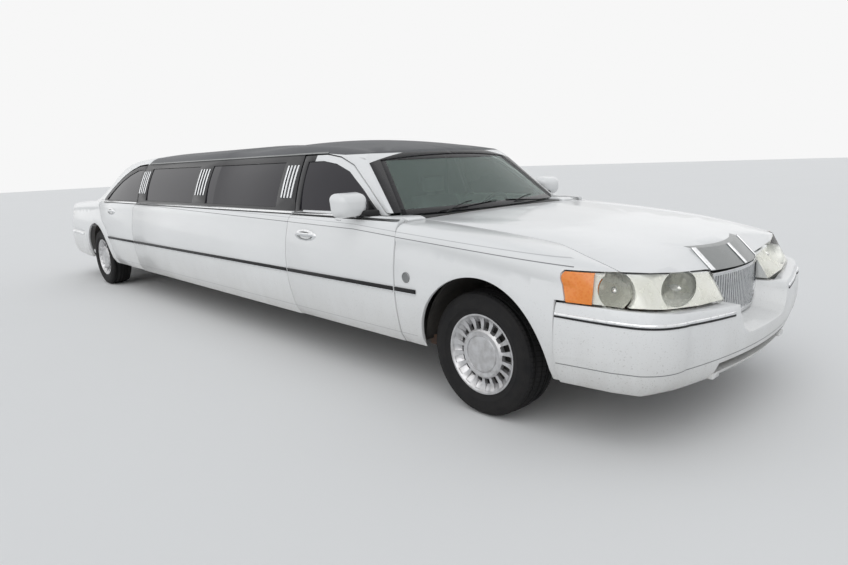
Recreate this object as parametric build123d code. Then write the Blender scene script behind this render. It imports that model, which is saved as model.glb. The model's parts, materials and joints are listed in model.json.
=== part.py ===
"""Stretch limousine: a full-size luxury sedan lengthened by 3048 mm between its doors.

Lengths are millimetres. Stations are measured from the front axle, forward positive;
Y is left, Z is up from the ground. Every node is moved to the middle of the car's
length when it is written.
"""
import os
from collections import namedtuple
from math import cos, radians, sin, tan

from build123d import *

os.makedirs("parts", exist_ok=True)
NODES = {}

# Overall size
LENGTH = 8517.0
HALF_WIDTH = 988.0
WHEELBASE = 6038.0
FRONT_OVERHANG = 1070.0
REAR_OVERHANG = LENGTH - WHEELBASE - FRONT_OVERHANG
FRONT_AXLE_X = LENGTH / 2 - FRONT_OVERHANG
REAR_AXLE = -WHEELBASE
NOSE_X = FRONT_OVERHANG
TAIL_X = REAR_AXLE - REAR_OVERHANG

# Clearances
PANEL_GAP = 8.0
SEAM_GAP = 6.0
FIT = 0.5

# Body shell
SKIN = 20.0
BODY_BOTTOM = 295.0
SILL_FOLD_Z = 360.0
WIDEST_Z = 610.0
SHOULDER_Y = 958.0
SHOULDER_Z = 925.0
BELT_Y = 900.0
BELT_Z = 1015.0
EAVE_Y = 735.0
EAVE_Z = 1405.0
ROOF_BEND_Y = 600.0
ROOF_BEND_Z = 1466.0
ROOF_Z = 1511.0

# Doors and side openings
DOOR_INNER_Y = 850.0
DOOR_SKIN = 30.0
DOOR_INSET = 22.0
POST_OUTER_Y = 835.0
POST_INNER_Y = 800.0
FRONT_DOOR_FRONT = -565.0
FRONT_DOOR_REAR = -1692.0
REAR_DOOR_FRONT = -4754.0
HINGE_SETBACK = 66.0
HINGE_Y = 974.0
HINGE_HEIGHTS = (550.0, 670.0)
HINGE_PIN = 6.0
HINGE_LEAF = 50.0
HINGE_LEAF_HALF = 3.0
LEAF_CLEAR = 2.0
OPEN_DOOR = 65.0
DOOR_TOP_Z = 1390.0
DOOR_BOTTOM_Z = 303.0

# Wheels
TYRE_RADIUS = 332.0
TYRE_WIDTH = 225.0
RIM_RADIUS = 217.0
BEAD_RADIUS = 203.0
FRONT_TRACK = 1610.0
REAR_TRACK = 1659.0
KINGPIN_Y = 735.0
ARCH_RADIUS = 415.0
FRONT_ARCH_X = 30.0
ARCH_Z = 335.0


# Floor
FLOOR_Z = 330.0
FLOOR_TOP = 348.0
TUNNEL_HALF = 140.0
TUNNEL_Z = 490.0
FIREWALL_X = -430.0
SEAT_WALL_X = -5990.0
TRUNK_FLOOR_Z = 492.0
SILL_INNER_Y = 760.0

# Frame, its front horns and rear rails
RAIL_BOTTOM = 225.0
CROSS_Z0 = 285.0
RAIL_Y0 = 600.0
RAIL_Y1 = 680.0
HORN_Y0 = 400.0
HORN_Y1 = 470.0
HORN_Z0 = 300.0
HORN_Z1 = 420.0
REAR_RAIL_Y0 = 500.0
REAR_RAIL_Y1 = 565.0
REAR_RAIL_Z0 = 400.0
REAR_RAIL_Z1 = TRUNK_FLOOR_Z
CROSSES = [-700, -1700, -2800, -3900, -4900]
HORN_END = 900.0
RADIATOR_X0 = 560.0
RADIATOR_X1 = 620.0
RADIATOR_TOP = 790.0
RADIATOR_HALF = 620.0
APRON_Y0 = 700.0
APRON_Y1 = 760.0
APRON_TOP = 800.0
LINER_WALL = 9.0
LINER_GAP = 8.0


def face_on(plane, start, *steps):
    """Closed face on a plane: a step is an end point, or (middle, end) for an arc."""
    edges = []
    here = start
    for step in steps + (start,):
        arc = isinstance(step[0], tuple)
        end = step[1] if arc else step
        if end == here:
            continue
        p = plane.from_local_coords((*here, 0))
        q = plane.from_local_coords((*end, 0))
        if arc:
            m = plane.from_local_coords((*step[0], 0))
            edges.append(Edge.make_three_point_arc(p, m, q))
        else:
            edges.append(Edge.make_line(p, q))
        here = end
    return Face(Wire(edges))


def cross_plane(x):
    """Plane across the car at a station: local axes are Y and Z."""
    return Plane(origin=(x, 0, 0), x_dir=(0, 1, 0), z_dir=(1, 0, 0))


def side_prism(y_from, y_to, start, *steps):
    """Outline in X and Z swept across the car."""
    face = face_on(Plane.XZ.offset(-y_from), start, *steps)
    return Solid.extrude(face, Vector(0, y_to - y_from, 0))


def cross_prism(x_from, x_to, start, *steps):
    """Outline in Y and Z swept along the car."""
    face = face_on(cross_plane(x_from), start, *steps)
    return Solid.extrude(face, Vector(x_to - x_from, 0, 0))


def plan_prism(z_from, z_to, lean, start, *steps):
    """Outline in X and Y swept up, leaning back by lean per millimetre of height."""
    face = face_on(Plane.XY.offset(z_from), start, *steps)
    height = z_to - z_from
    return Solid.extrude(face, Vector(-lean * height, 0, height))


def block(x0, x1, y0, y1, z0, z1):
    """Box between two corners."""
    size = (abs(x1 - x0), abs(y1 - y0), abs(z1 - z0))
    return Pos((x0 + x1) / 2, (y0 + y1) / 2, (z0 + z1) / 2) * Box(*size)


def flip(point):
    """A plan point on the other side."""
    return (point[0], -point[1])


def across(point):
    """A section point on the other side."""
    return (-point[0], point[1])


def both_sides(shape):
    """The shape and its mirror image across the car's middle."""
    return [shape, mirror(shape, Plane.XZ)]


def tube_y(radius, x, z, y0, y1):
    """Cylinder lying across the car."""
    return Pos(x, (y0 + y1) / 2, z) * Rot(90, 0, 0) * Cylinder(radius, abs(y1 - y0))


def tube_x(radius, x0, x1, y, z):
    """Cylinder lying along the car."""
    return Pos((x0 + x1) / 2, y, z) * Rot(0, 90, 0) * Cylinder(radius, abs(x1 - x0))


# Cross sections of the body below the window line, nose and tail
Body = namedtuple("Body", "x width shoulder_y shoulder_z edge_y edge_z crown_z")
NOSE = [
    Body(-820, 988, 962, 900, 900, 1000, 1012),
    Body(-560, 986, 962, 885, 900, 987, 1004),
    Body(0, 982, 955, 845, 890, 944, 966),
    Body(480, 965, 938, 775, 868, 884, 922),
    Body(850, 925, 900, 715, 800, 812, 860),
    Body(1110, 870, 845, 660, 720, 750, 795),
]
TAIL = [
    Body(-5440, 988, 958, 925, 900, 1013, 1018),
    Body(-6040, 988, 957, 922, 896, 1009, 1016),
    Body(-6600, 976, 943, 905, 872, 990, 1006),
    Body(-7100, 946, 913, 880, 838, 960, 984),
    Body(-7480, 905, 872, 850, 795, 915, 945),
]

# Cross sections of the cabin's upper part, from the window line to the roof
Cabin = namedtuple("Cabin", "x base_y eave_y eave_z bend_y bend_z crown_z")
CABIN_BASE_Z = 950.0
CABIN_FRONT = [
    Cabin(-560, 836, 660, 1290, 545, 1322, 1338),
    Cabin(-1060, 868, 692, 1338, 562, 1382, 1402),
    Cabin(-1560, 900, 728, 1392, 592, 1445, 1476),
    Cabin(-2250, 911, EAVE_Y, 1404, ROOF_BEND_Y, ROOF_BEND_Z - 5, 1504),
    Cabin(-3000, 912, EAVE_Y, EAVE_Z, ROOF_BEND_Y, ROOF_BEND_Z, ROOF_Z),
]
CABIN_REAR = [
    Cabin(-4850, 912, EAVE_Y, EAVE_Z, ROOF_BEND_Y, ROOF_BEND_Z, ROOF_Z),
    Cabin(-5300, 911, 737, 1372, 598, 1446, 1488),
    Cabin(-5700, 907, 734, 1296, 592, 1372, 1414),
    Cabin(-6150, 900, 728, 1128, 590, 1185, 1225),
    Cabin(-6640, 885, 722, 985, 590, 1010, 1040),
]


def body_wire(row, inset=0.0):
    """Closed section of the lower body; an inset section is open below the sills."""
    w = row.width - inset
    bottom = BODY_BOTTOM if inset == 0 else BODY_BOTTOM - 100
    shoulder = (row.shoulder_y - inset, row.shoulder_z - inset / 3)
    edge = (row.edge_y - inset * 0.7, row.edge_z - inset)
    bend = (row.edge_y * 0.34 + row.shoulder_y * 0.66 + 9 - inset,
            row.edge_z * 0.66 + row.shoulder_z * 0.34 + 4 - inset * 0.6)
    half = [(w - 76, bottom), (w - 38, SILL_FOLD_Z), (w, WIDEST_Z), shoulder, bend, edge]
    low, fold, wide, shoulder, bend, edge = half
    face = face_on(
        cross_plane(row.x), across(low), low, fold, (wide, shoulder), (bend, edge),
        ((0, row.crown_z - inset), across(edge)), (across(bend), across(shoulder)),
        (across(wide), across(fold)))
    return face


def cabin_face(row, inset=0.0):
    """Closed section of the cabin's upper part."""
    base_z = CABIN_BASE_Z if inset == 0 else CABIN_BASE_Z - 100
    base = (row.base_y - inset, base_z)
    eave = (row.eave_y - inset, row.eave_z - inset * 0.5)
    side = ((base[0] + eave[0]) / 2 + 22, (row.eave_z + CABIN_BASE_Z) / 2)
    bend = (row.bend_y - inset * 0.3, row.bend_z - inset)
    corner = ((eave[0] * 0.62 + bend[0] * 0.38), (eave[1] * 0.38 + bend[1] * 0.62) + 2)
    return face_on(
        cross_plane(row.x), across(base), base, (side, eave), (corner, bend),
        ((0, row.crown_z - inset), across(bend)), (across(corner), across(eave)),
        (across(side), across(base)))


def loft_of(rows, shape, inset=0.0):
    """Smooth solid through the sections of a table."""
    return Solid(loft([shape(row, inset) for row in rows]).wrapped)


nose_outer = loft_of(NOSE, body_wire)
nose_inner = loft_of(NOSE, body_wire, SKIN)
tail_outer = loft_of(TAIL, body_wire)
tail_inner = loft_of(TAIL, body_wire, SKIN)
cabin_outer = [loft_of(CABIN_FRONT, cabin_face), loft_of(CABIN_REAR, cabin_face)]
cabin_inner = [loft_of(CABIN_FRONT, cabin_face, SKIN), loft_of(CABIN_REAR, cabin_face, SKIN)]


def keep(name, *solids):
    """Register a node made of one or more solids."""
    NODES[name] = [s for shape in solids for s in Compound([shape]).solids()]


# Side panel between the doors: outline from sill to window line, swept along the car
def lower_panel(x0, x1, inner_y, thickness=None):
    """Left side lower panel as a full layer from the skin to a flat inner face."""
    bend = (SHOULDER_Y - 19, BELT_Z - 33)
    if thickness is None:
        inside = [(inner_y, BELT_Z), (inner_y, BODY_BOTTOM)]
    else:
        t = thickness
        inside = [(BELT_Y - t, BELT_Z), (bend[0] - t, bend[1] - t / 3),
                  (SHOULDER_Y - t, SHOULDER_Z - t / 3),
                  ((HALF_WIDTH - t, WIDEST_Z), (HALF_WIDTH - 38 - t, SILL_FOLD_Z)),
                  (HALF_WIDTH - 76 - t, BODY_BOTTOM)]
    return cross_prism(
        x0, x1, (HALF_WIDTH - 76, BODY_BOTTOM), (HALF_WIDTH - 38, SILL_FOLD_Z),
        ((HALF_WIDTH, WIDEST_Z), (SHOULDER_Y, SHOULDER_Z)), (bend, (BELT_Y, BELT_Z)), *inside)




def mid_cabin(inset=0.0):
    """Upper part of the cabin between its two lofted ends."""
    face = cabin_face(CABIN_FRONT[-1], inset)
    run = CABIN_REAR[0].x - CABIN_FRONT[-1].x
    return Solid.extrude(face, Vector(run, 0, 0))


cabin_solid = cabin_outer[0].fuse(mid_cabin(), cabin_outer[1])
cabin_hollow = cabin_inner[0].fuse(mid_cabin(SKIN), cabin_inner[1])
# Windscreen and rear window surfaces: arcs in plan, swept along their slopes
GLASS = 8.0
SCREEN_BASE_X = -570.0
SCREEN_BASE_Z = 1003.0
SCREEN_LEAN = 1.256
SCREEN_SAG = 150.0
REAR_GLASS_X = -6560.0
REAR_GLASS_Z = 1000.0
REAR_LEAN = -2.16
REAR_SAG = 110.0
FAR_BACK = -9000.0
FAR_FRONT = 2500.0


def screen_front(offset, z_top=1560.0):
    """Everything behind the windscreen's outer surface, moved in by an offset."""
    z0 = SCREEN_BASE_Z - 100
    x0 = SCREEN_BASE_X + 100 * SCREEN_LEAN - offset
    side_x = x0 - SCREEN_SAG
    return plan_prism(z0, z_top, SCREEN_LEAN, (side_x, -800), ((x0, 0), (side_x, 800)),
                      (side_x - 40, 1000), (FAR_BACK, 1000), (FAR_BACK, -1000), (side_x - 40, -1000))


def screen_rear(offset, z_top=1560.0):
    """Everything ahead of the rear window's outer surface, moved in by an offset."""
    z0 = REAR_GLASS_Z - 100
    x0 = REAR_GLASS_X + 100 * REAR_LEAN + offset
    side_x = x0 + REAR_SAG
    return plan_prism(z0, z_top, REAR_LEAN, (side_x, 800), ((x0, 0), (side_x, -800)),
                      (side_x + 40, -1000), (FAR_FRONT, -1000), (FAR_FRONT, 1000), (side_x + 40, 1000))


cabin_solid = cabin_solid & screen_front(0) & screen_rear(0)
cabin_hollow = cabin_hollow & screen_front(SKIN * 1.6) & screen_rear(SKIN * 2.4)
cabin_shell = cabin_solid - cabin_hollow


# Side outlines of the doors and windows, in X and Z
FRONT_DOOR = [
    (FRONT_DOOR_FRONT, DOOR_BOTTOM_Z), (FRONT_DOOR_FRONT, 1008), (-790, 1022), (-1000, 1176),
    (-1200, 1310), (-1350, 1366), (-1500, DOOR_TOP_Z), (-1726, DOOR_TOP_Z), (-1690, BELT_Z),
    ((-1700, 620), (-1668, DOOR_BOTTOM_Z))]
REAR_DOOR = [
    (REAR_DOOR_FRONT, DOOR_BOTTOM_Z), (REAR_DOOR_FRONT, DOOR_TOP_Z), (-4985, DOOR_TOP_Z - 10),
    (-5200, 1336), (-5425, 1262), (-5690, 1142), (-5895, 1030), (-5850, 930),
    ((-5795, 845), (-5740, 790)), ((-5560, 610), (-5505, 430)), (-5500, DOOR_BOTTOM_Z)]
FRONT_WINDOW = [
    (-850, 1028), (-1035, 1163), (-1215, 1276), (-1365, 1328), (-1505, 1350),
    (-1672, 1350), (-1648, 1028)]
REAR_WINDOW = [
    (-4800, 1028), (-4800, 1350), (-4975, 1342), (-5180, 1296), (-5400, 1225),
    (-5640, 1115), (-5800, 1028)]


def flattened(outline):
    """Corner points of an outline, with each arc as four short chords."""
    points = [outline[0]]
    for step in outline[1:]:
        if isinstance(step[0], tuple):
            ends = [Vector(*p, 0) for p in (points[-1], step[0], step[1])]
            arc = Edge.make_three_point_arc(*ends)
            points += [((arc @ t).X, (arc @ t).Y) for t in (0.25, 0.5, 0.75, 1.0)]
        else:
            points.append(step)
    return points


def outline_prism(outline, y0, y1, by=0.0):
    """Prism of a side outline between two distances from the car's middle."""
    if by == 0:
        return side_prism(y0, y1, *outline)
    face = make_face(Polyline(*flattened(outline), close=True))
    ring = offset(face, by, kind=Kind.INTERSECTION).face().outer_wire()
    return side_prism(y0, y1, *[((e @ 0).X, (e @ 0).Y) for e in ring.order_edges()])


def upper_at(depth):
    """Cabin solid drawn in by a depth, for the panes."""
    if depth == 0:
        return cabin_solid
    parts = [loft_of(CABIN_FRONT, cabin_face, depth), mid_cabin(depth),
             loft_of(CABIN_REAR, cabin_face, depth)]
    return parts[0].fuse(*parts[1:])


PANE_OUT = 6.0
PANE_IN = 12.0
pane_shell = upper_at(PANE_OUT) - upper_at(PANE_IN)


def pane(window):
    """Left side pane seated in its window."""
    return pane_shell & outline_prism(window, 600, 1100, -FIT)


def door(outline, window, x0, x1):
    """Left door: outer layer, inset inner layer, frame around the open window."""
    full = outline_prism(outline, 0, 1100)
    inner = outline_prism(outline, 0, 1100, -DOOR_INSET)
    skin = lower_panel(x0, x1, 0, DOOR_SKIN) & full
    box = (lower_panel(x0, x1, DOOR_INNER_Y) - lower_panel(x0, x1, 0, DOOR_SKIN)) & inner
    upper = cabin_shell & block(x0, x1, 640, 1100, BELT_Z - 1, 1500) & full & screen_front(40)
    upper = upper - outline_prism(window, 0, 1100)
    return skin.fuse(box, upper)


def door_hinge(x):
    """Body leaves with their pins, and the pocket each needs in the door it carries."""
    leaves, pockets = [], []
    t = HINGE_PIN
    half = HINGE_LEAF_HALF
    lead = HINGE_SETBACK + 30
    rise = half / sin(radians(OPEN_DOOR)) + LEAF_CLEAR
    slope = rise - lead / tan(radians(OPEN_DOOR))
    for z in HINGE_HEIGHTS:
        z0, z1 = z - HINGE_LEAF / 2, z + HINGE_LEAF / 2
        pin = Pos(x, HINGE_Y, z) * Cylinder(t, HINGE_LEAF)
        leaves.append(pin.fuse(block(x - half, x + half, POST_OUTER_Y - 1, HINGE_Y, z0, z1)))
        bore = Pos(x, HINGE_Y, z) * Cylinder(t + 0.3, HINGE_LEAF + 10)
        sweep = plan_prism(
            z0 - 5, z1 + 5, 0, (x - t - 3, HINGE_Y - t), (x - t - 3, DOOR_INNER_Y - 9),
            (x + lead, DOOR_INNER_Y - 9), (x + lead, HINGE_Y + slope), (x, HINGE_Y + rise),
            (x - t * 0.6, HINGE_Y))
        pockets.append(bore.fuse(sweep))
    return leaves, pockets


# Doors
MIRROR = dict(x=-930, y=985, z=1075, length=115, width=240, height=150)
front_door = door(FRONT_DOOR, FRONT_WINDOW, -1800, -500)
rear_door = door(REAR_DOOR, REAR_WINDOW, -6000, -4700)
front_leaves, front_pockets = door_hinge(FRONT_DOOR_FRONT - HINGE_SETBACK)
rear_leaves, rear_pockets = door_hinge(REAR_DOOR_FRONT - HINGE_SETBACK)
front_door = front_door.cut(*front_pockets)
rear_door = rear_door.cut(*rear_pockets)
shell = fillet(Box(MIRROR["length"], MIRROR["width"], MIRROR["height"]).edges(), 54)
foot = block(-905, -835, 862, 935, 1022, 1052)
mirror_housing = Pos(MIRROR["x"], MIRROR["y"], MIRROR["z"]) * shell
front_door = front_door.fuse(foot, mirror_housing.solid())
for name, shape in (("door_front", front_door), ("door_rear", rear_door)):
    left, right = both_sides(shape)
    keep(name + "_left", left)
    keep(name + "_right", right)
for name, window in (("door_glass_front", FRONT_WINDOW), ("door_glass_rear", REAR_WINDOW)):
    left, right = both_sides(pane(window))
    keep(name + "_left", left)
    keep(name + "_right", right)

# Lengthened middle: panels, window band and their panes
STRETCH_REAR = REAR_DOOR_FRONT + PANEL_GAP
STRETCH_WINDOWS = [(-1950, -3140), (-3400, -4535)]
BAND_TOP_Z = 1398.0
front_cut = outline_prism(FRONT_DOOR, 0, 1100, PANEL_GAP)
front_cut_upper = outline_prism(FRONT_DOOR, 0, 1100, 2 * PANEL_GAP) & block(
    -9000, 0, 0, 1100, BELT_Z + 60, 2000)
panes = [
    [(x0, 1040), (x1, 1040), (x1, 1352), (x0, 1352)] for x0, x1 in STRETCH_WINDOWS]
stretch = lower_panel(STRETCH_REAR, FRONT_DOOR_REAR + 40, POST_OUTER_Y).fuse(
    cabin_shell & block(STRETCH_REAR, FRONT_DOOR_REAR + 40, 640, 1100, BELT_Z - 1, BAND_TOP_Z))
stretch = stretch - front_cut - front_cut_upper
for window in panes:
    stretch = stretch - outline_prism(window, 600, 1100)
keep("stretch_panels", *both_sides(stretch))
keep("stretch_windows", *[s for window in panes for s in both_sides(pane(window))])

# Roof, windscreen frame, glass
ROOF_REAR = -4700.0
roof_zone = side_prism(-1000, 1000, (-940, 1384), (-1330, 1384), (-1500, BAND_TOP_Z),
                       (ROOF_REAR, BAND_TOP_Z), (ROOF_REAR, 1560), (-940, 1560))
keep("roof", cabin_shell & roof_zone)
SCREEN_OPENING = [(-762, 1012), (-612, 1338), ((0, 1368), (612, 1338)), (762, 1012)]
REAR_OPENING = [(-6455, -640), (-5700, -590), (-5700, 590), (-6455, 640)]
screen_hole = cross_prism(-1500, -300, *SCREEN_OPENING)
rear_hole = plan_prism(1000, 1500, 0, *REAR_OPENING)
frame = (cabin_shell & block(-1500, -300, -1000, 1000, 985, 1500)) - roof_zone - screen_hole
frame = frame - front_cut - mirror(front_cut, Plane.XZ)
keep("windscreen_frame", frame)
screen_small = cross_prism(
    -1500, -300, (-761, 1013), (-611.5, 1337), ((0, 1367), (611.5, 1337)), (761, 1013))
keep("windscreen", (screen_front(6) - screen_front(12)) & screen_small)
rear_small = plan_prism(1000, 1500, 0, (-6454, -639), (-5701, -589), (-5701, 589), (-6454, 639))
keep("rear_window", (screen_rear(6) - screen_rear(14)) & rear_small & upper_at(2))

def lid_hinge(x, z, y, toward, foot_z, foot_x):
    """Pin on a bent strap under the fixed edge of a lid, and the pocket in the lid."""
    t = LID_PIN
    pin = tube_y(t, x, z, y - 15, y + 15)
    half = LID_STRAP_HALF
    strap = pin.fuse(block(x - half, x + half, y - 15, y + 15, foot_z, z),
                     block(x - half, foot_x, y - 15, y + 15, foot_z, foot_z + 14))
    bore = tube_y(t + 0.3, x, z, y - 20, y + 20)
    sweep = side_prism(
        y - 20, y + 20, (x - toward * (t + 2), z - 60), (x - toward * (t + 2), z - t * 0.5),
        (x - toward * 2, z + t), (x + toward * 20, z + t), (x + toward * 20, z - 60))
    return strap, bore.fuse(sweep)


# Rear body: quarter panels, pillars behind the doors, tail panel
TAIL_LEAN = -0.16
LID_FRONT_X = -6590.0
LID_HALF = 735.0
LID_BOTTOM_Z = 645.0
LID_PIN = 4.0
LID_STRAP_HALF = 2.0
LID_HINGE_Y = 500.0
LID_HINGE_X = LID_FRONT_X - 12
LID_HINGE_Z = 987.0
LID_EDGE_GAP = 12.0


def tail_plan(inset, z0=200.0, z1=1100.0):
    """Everything ahead of the tail's rounded rear surface."""
    x0 = TAIL_X + 22 + inset
    return plan_prism(z0, z1, TAIL_LEAN, (x0 + 190, 1000), (x0 + 150, 880 - inset),
                      ((x0 + 72, 800 - inset), (x0 + 28, 640)), ((x0, 0), (x0 + 28, -640)),
                      ((x0 + 72, -800 + inset), (x0 + 150, -880 + inset)), (x0 + 190, -1000),
                      (-5000, -1000), (-5000, 1000))


tail_shell = (tail_outer & tail_plan(0)) - (tail_inner & tail_plan(24))
REAR_BUMPER_TOP = 628.0
REAR_BUMPER_FRONT = REAR_AXLE - 455.0
rear_cut = outline_prism(REAR_DOOR, 0, 1100, PANEL_GAP)
rear_cut_upper = outline_prism(REAR_DOOR, 0, 1100, 2 * PANEL_GAP) & block(
    -9000, 0, 0, 1100, BELT_Z + 40, 2000)
rear_arch = tube_y(ARCH_RADIUS, REAR_AXLE, ARCH_Z, 500, 1100)
lid_zone = block(LID_FRONT_X, TAIL_X - 50, -LID_HALF, LID_HALF, 900, 1100).fuse(
    block(-7300, TAIL_X - 50, -430, 430, LID_BOTTOM_Z, 1000))
lid_hole = block(LID_FRONT_X + LID_EDGE_GAP, TAIL_X - 50, -LID_HALF - SEAM_GAP,
                 LID_HALF + SEAM_GAP, 893, 1100).fuse(
    block(-7290, TAIL_X - 50, -436, 436, LID_BOTTOM_Z - SEAM_GAP, 1000))
LAMP_Z0 = 672.0
LAMP_Z1 = 868.0
lamp_zone = block(-7190, TAIL_X - 50, 452, 1100, LAMP_Z0, LAMP_Z1)
quarter = tail_shell.fuse(cabin_shell & block(-6700, ROOF_REAR - 1, -1000, 1000, 1005, 1600))
quarter = quarter - rear_hole - lid_hole
quarter = quarter - block(-5998, -4000, -870, 870, 900, 1022)
quarter = quarter - block(TAIL_X - 50, REAR_BUMPER_FRONT, -1100, 1100, 200, REAR_BUMPER_TOP + 5)
for side in both_sides(rear_cut.fuse(rear_cut_upper, rear_arch, lamp_zone)):
    quarter = quarter - side
quarter = quarter - block(ROOF_REAR - 60, -4000, -1000, 1000, 200, BAND_TOP_Z)
quarter = quarter - block(-5492, -4000, -1000, 1000, 200, 700)
lid = tail_shell & lid_zone
for y in (-LID_HINGE_Y, LID_HINGE_Y):
    strap, pocket = lid_hinge(LID_HINGE_X, LID_HINGE_Z, y, 1, 925, LID_FRONT_X + 40)
    quarter = quarter.fuse(strap, block(LID_FRONT_X + 24, LID_FRONT_X + 40, y - 15, y + 15, 925, 985))
    lid = lid - pocket
keep("rear_body", quarter)
keep("trunk_lid", lid)
lamp = ((tail_outer & tail_plan(0)) - (loft_of(TAIL, body_wire, 60) & tail_plan(60))) & block(
    -7190.5, TAIL_X - 50, 452.5, 1100, LAMP_Z0 + FIT, LAMP_Z1 - FIT)
keep("tail_lamps", *both_sides(lamp))


Ring = namedtuple("Ring", "z back")
REAR_RINGS = [Ring(300, 50), Ring(350, 24), Ring(430, 5), Ring(530, 0), Ring(600, 6),
              Ring(REAR_BUMPER_TOP, 18)]
REAR_WALL = 55.0


def bumper_shape(plan, rings, wall=0.0):
    """Solid through a bumper's plan at each height."""
    return Solid(loft([plan(ring.z, ring.back + wall) for ring in rings]).wrapped)


def rear_bumper_plan(z, inset):
    """Plan of the rear bumper's outer face at one height."""
    x0 = TAIL_X + inset
    side = 972 - inset * 0.9
    corner = (-7330 + inset, 880 - inset)
    curve = (-7392 + inset, 700)
    return face_on(Plane.XY.offset(z), (-5000, side), (-6700, side), (-7130, 940 - inset),
                   (corner, curve), ((x0, 0), flip(curve)), (flip(corner), (-7130, -940 + inset)),
                   (-6700, -side), (-5000, -side))


rear_shell = bumper_shape(rear_bumper_plan, REAR_RINGS) - bumper_shape(
    rear_bumper_plan, REAR_RINGS, REAR_WALL)
keep("rear_bumper", rear_shell & block(TAIL_X - 50, REAR_BUMPER_FRONT, -1100, 1100, 200, 900))

# Nose: the raked face that carries the lamps and the hood's lip
GRILLE_Z0 = 522.0
GRILLE_Z1 = 756.0
GRILLE_HALF = 282.0
GRILLE_X0 = 862.0
GRILLE_TIP_X = 942.0
GRILLE_SIDE_X = 902.0
RAKE = 0.57
RAKE_Z = 670.0
HOOD_REAR = -573.0
SEAM_Y = 720.0


def raked_nose(inset):
    """Everything behind the raked lamp face."""
    low = 300.0
    shift = (RAKE_Z - low) * RAKE
    points = [(580, 946), (790, 892), (920, 742), (955, 540), (938, 0)]
    p = [(x + shift - inset, y) for x, y in points]
    corner = ((p[1][0] + p[2][0]) / 2 + 20, (p[1][1] + p[2][1]) / 2 + 16)
    front = (p[3][0] + 2, p[3][1] - 180)
    return plan_prism(low, 1300, RAKE, (-3000, 1000), (p[0][0] - 100, 1000), p[0], p[1],
                      (corner, p[2]), p[3], front, flip(front), flip(p[3]), flip(p[2]),
                      (flip(corner), flip(p[1])), flip(p[0]), (p[0][0] - 100, -1000),
                      (-3000, -1000))


LIP_Z = 775.0
LIP_LEAN = 1.0
LIP_PLAN = [(925, 742), (898, 540), (878, 300)]
LIP_TIP_X = 940.0
LIP_WALL = 52.0
HEADER_DEPTH = 30.0


def nose_lip(inset):
    """Everything behind the slope that ends the hood above the lamps and the grille."""
    low = 600.0
    shift = (LIP_Z - low) * LIP_LEAN - inset
    p = [(x + shift, y) for x, y in LIP_PLAN]
    q = [(x, -y) for x, y in reversed(p)]
    return plan_prism(low, 1300, LIP_LEAN, (-3000, 1000), (700 + shift, 1000), *p,
                      ((LIP_TIP_X + shift, 0), q[0]), *q[1:], (700 + shift, -1000), (-3000, -1000))


nose_shell = nose_outer - nose_inner
face_solid = nose_outer & raked_nose(0)
FENDER_REAR = FRONT_DOOR_FRONT + PANEL_GAP
FENDER_FRONT = 488.0
LAMP_REAR = 515.0
LAMP_VIEW = [(300, 640), (550, 656), (740, 671), (1000, 702), (1000, 828), (850, 828),
             (600, 800), (300, 768)]
LAMP_GAP = 6.0


def lamp_zone_at(gap):
    """Front view of the lamp, met by its rounded outer end in side view."""
    top = len(LAMP_VIEW) // 2
    view = [(y - gap * (y < 400) + gap * (y > 900), z + (gap if i >= top else -gap))
            for i, (y, z) in enumerate(LAMP_VIEW)]
    rear = LAMP_REAR - gap
    return cross_prism(rear, 1200, *view) & side_prism(
        0, 1100, (1200, 600), (1200, 900), (rear + 60, 900), (rear + 45, 832 + gap),
        ((rear + 8, 822 + gap), (rear + 2, 788)), (rear + 26, 716 - gap),
        ((rear + 36, 690 - gap), (rear + 70, 678 - gap)), (rear + 90, 600))


HOOD_PLAN = [(HOOD_REAR, 0), (HOOD_REAR, SEAM_Y), (360, SEAM_Y), (550, 790), (745, 840),
             (1100, 905), (1100, 0)]
hood_half = plan_prism(740, 1100, 0, *HOOD_PLAN)
hood_zone = hood_half.fuse(mirror(hood_half, Plane.XZ))
seam = [(HOOD_REAR - 300, 0), (HOOD_REAR - 300, SEAM_Y + SEAM_GAP), (362, SEAM_Y + SEAM_GAP),
        (551, 796), (745, 846), (1100, 911), (1100, 0)]
seam_zone = plan_prism(740, 1100, 0, *seam)
front_arch = tube_y(ARCH_RADIUS, FRONT_ARCH_X, ARCH_Z, 500, 1100)
lamp_hole = lamp_zone_at(LAMP_GAP)
fender = (nose_shell & raked_nose(0) & block(FENDER_REAR, 1200, 0, 1100, BODY_BOTTOM, 1100))
fender = fender - seam_zone - front_arch - lamp_hole
fender = fender - block(FENDER_FRONT, 1300, 0, 1100, 0, 700)
fender = Compound([fender]).solids().sort_by(SortBy.VOLUME)[-1]
flange = block(FIREWALL_X, FENDER_FRONT - 6, SEAM_Y + SEAM_GAP + 2, SEAM_Y + SEAM_GAP + 16,
               APRON_TOP, 1000) & loft_of(NOSE, body_wire, SKIN - 2)
keep("front_fenders", *both_sides(fender.fuse(flange - seam_zone)))
hood_floor = cross_prism(-700, 1200, (-900, 650), (900, 650), (900, 836), (850, 834), (600, 806),
                         (290, 774), (-290, 774), (-600, 806), (-850, 834), (-900, 836))
HEADER_HALF = 282.0
hood = nose_outer & raked_nose(0) & nose_lip(0) & hood_zone
hood = hood - (nose_inner & nose_lip(LIP_WALL))
hood = hood - (block(700, 1200, -HEADER_HALF, HEADER_HALF, 700, 1000) - nose_lip(HEADER_DEPTH))
hood = (hood - (hood_floor - block(-700, 500, -900, 900, 600, 900))).solids().sort_by(
    SortBy.VOLUME)[-1]
HOOD_HINGE_X = HOOD_REAR + 10
HOOD_HINGE_Z = 985.0
COWL_FRONT = HOOD_REAR - 13
hood_straps = []
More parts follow.
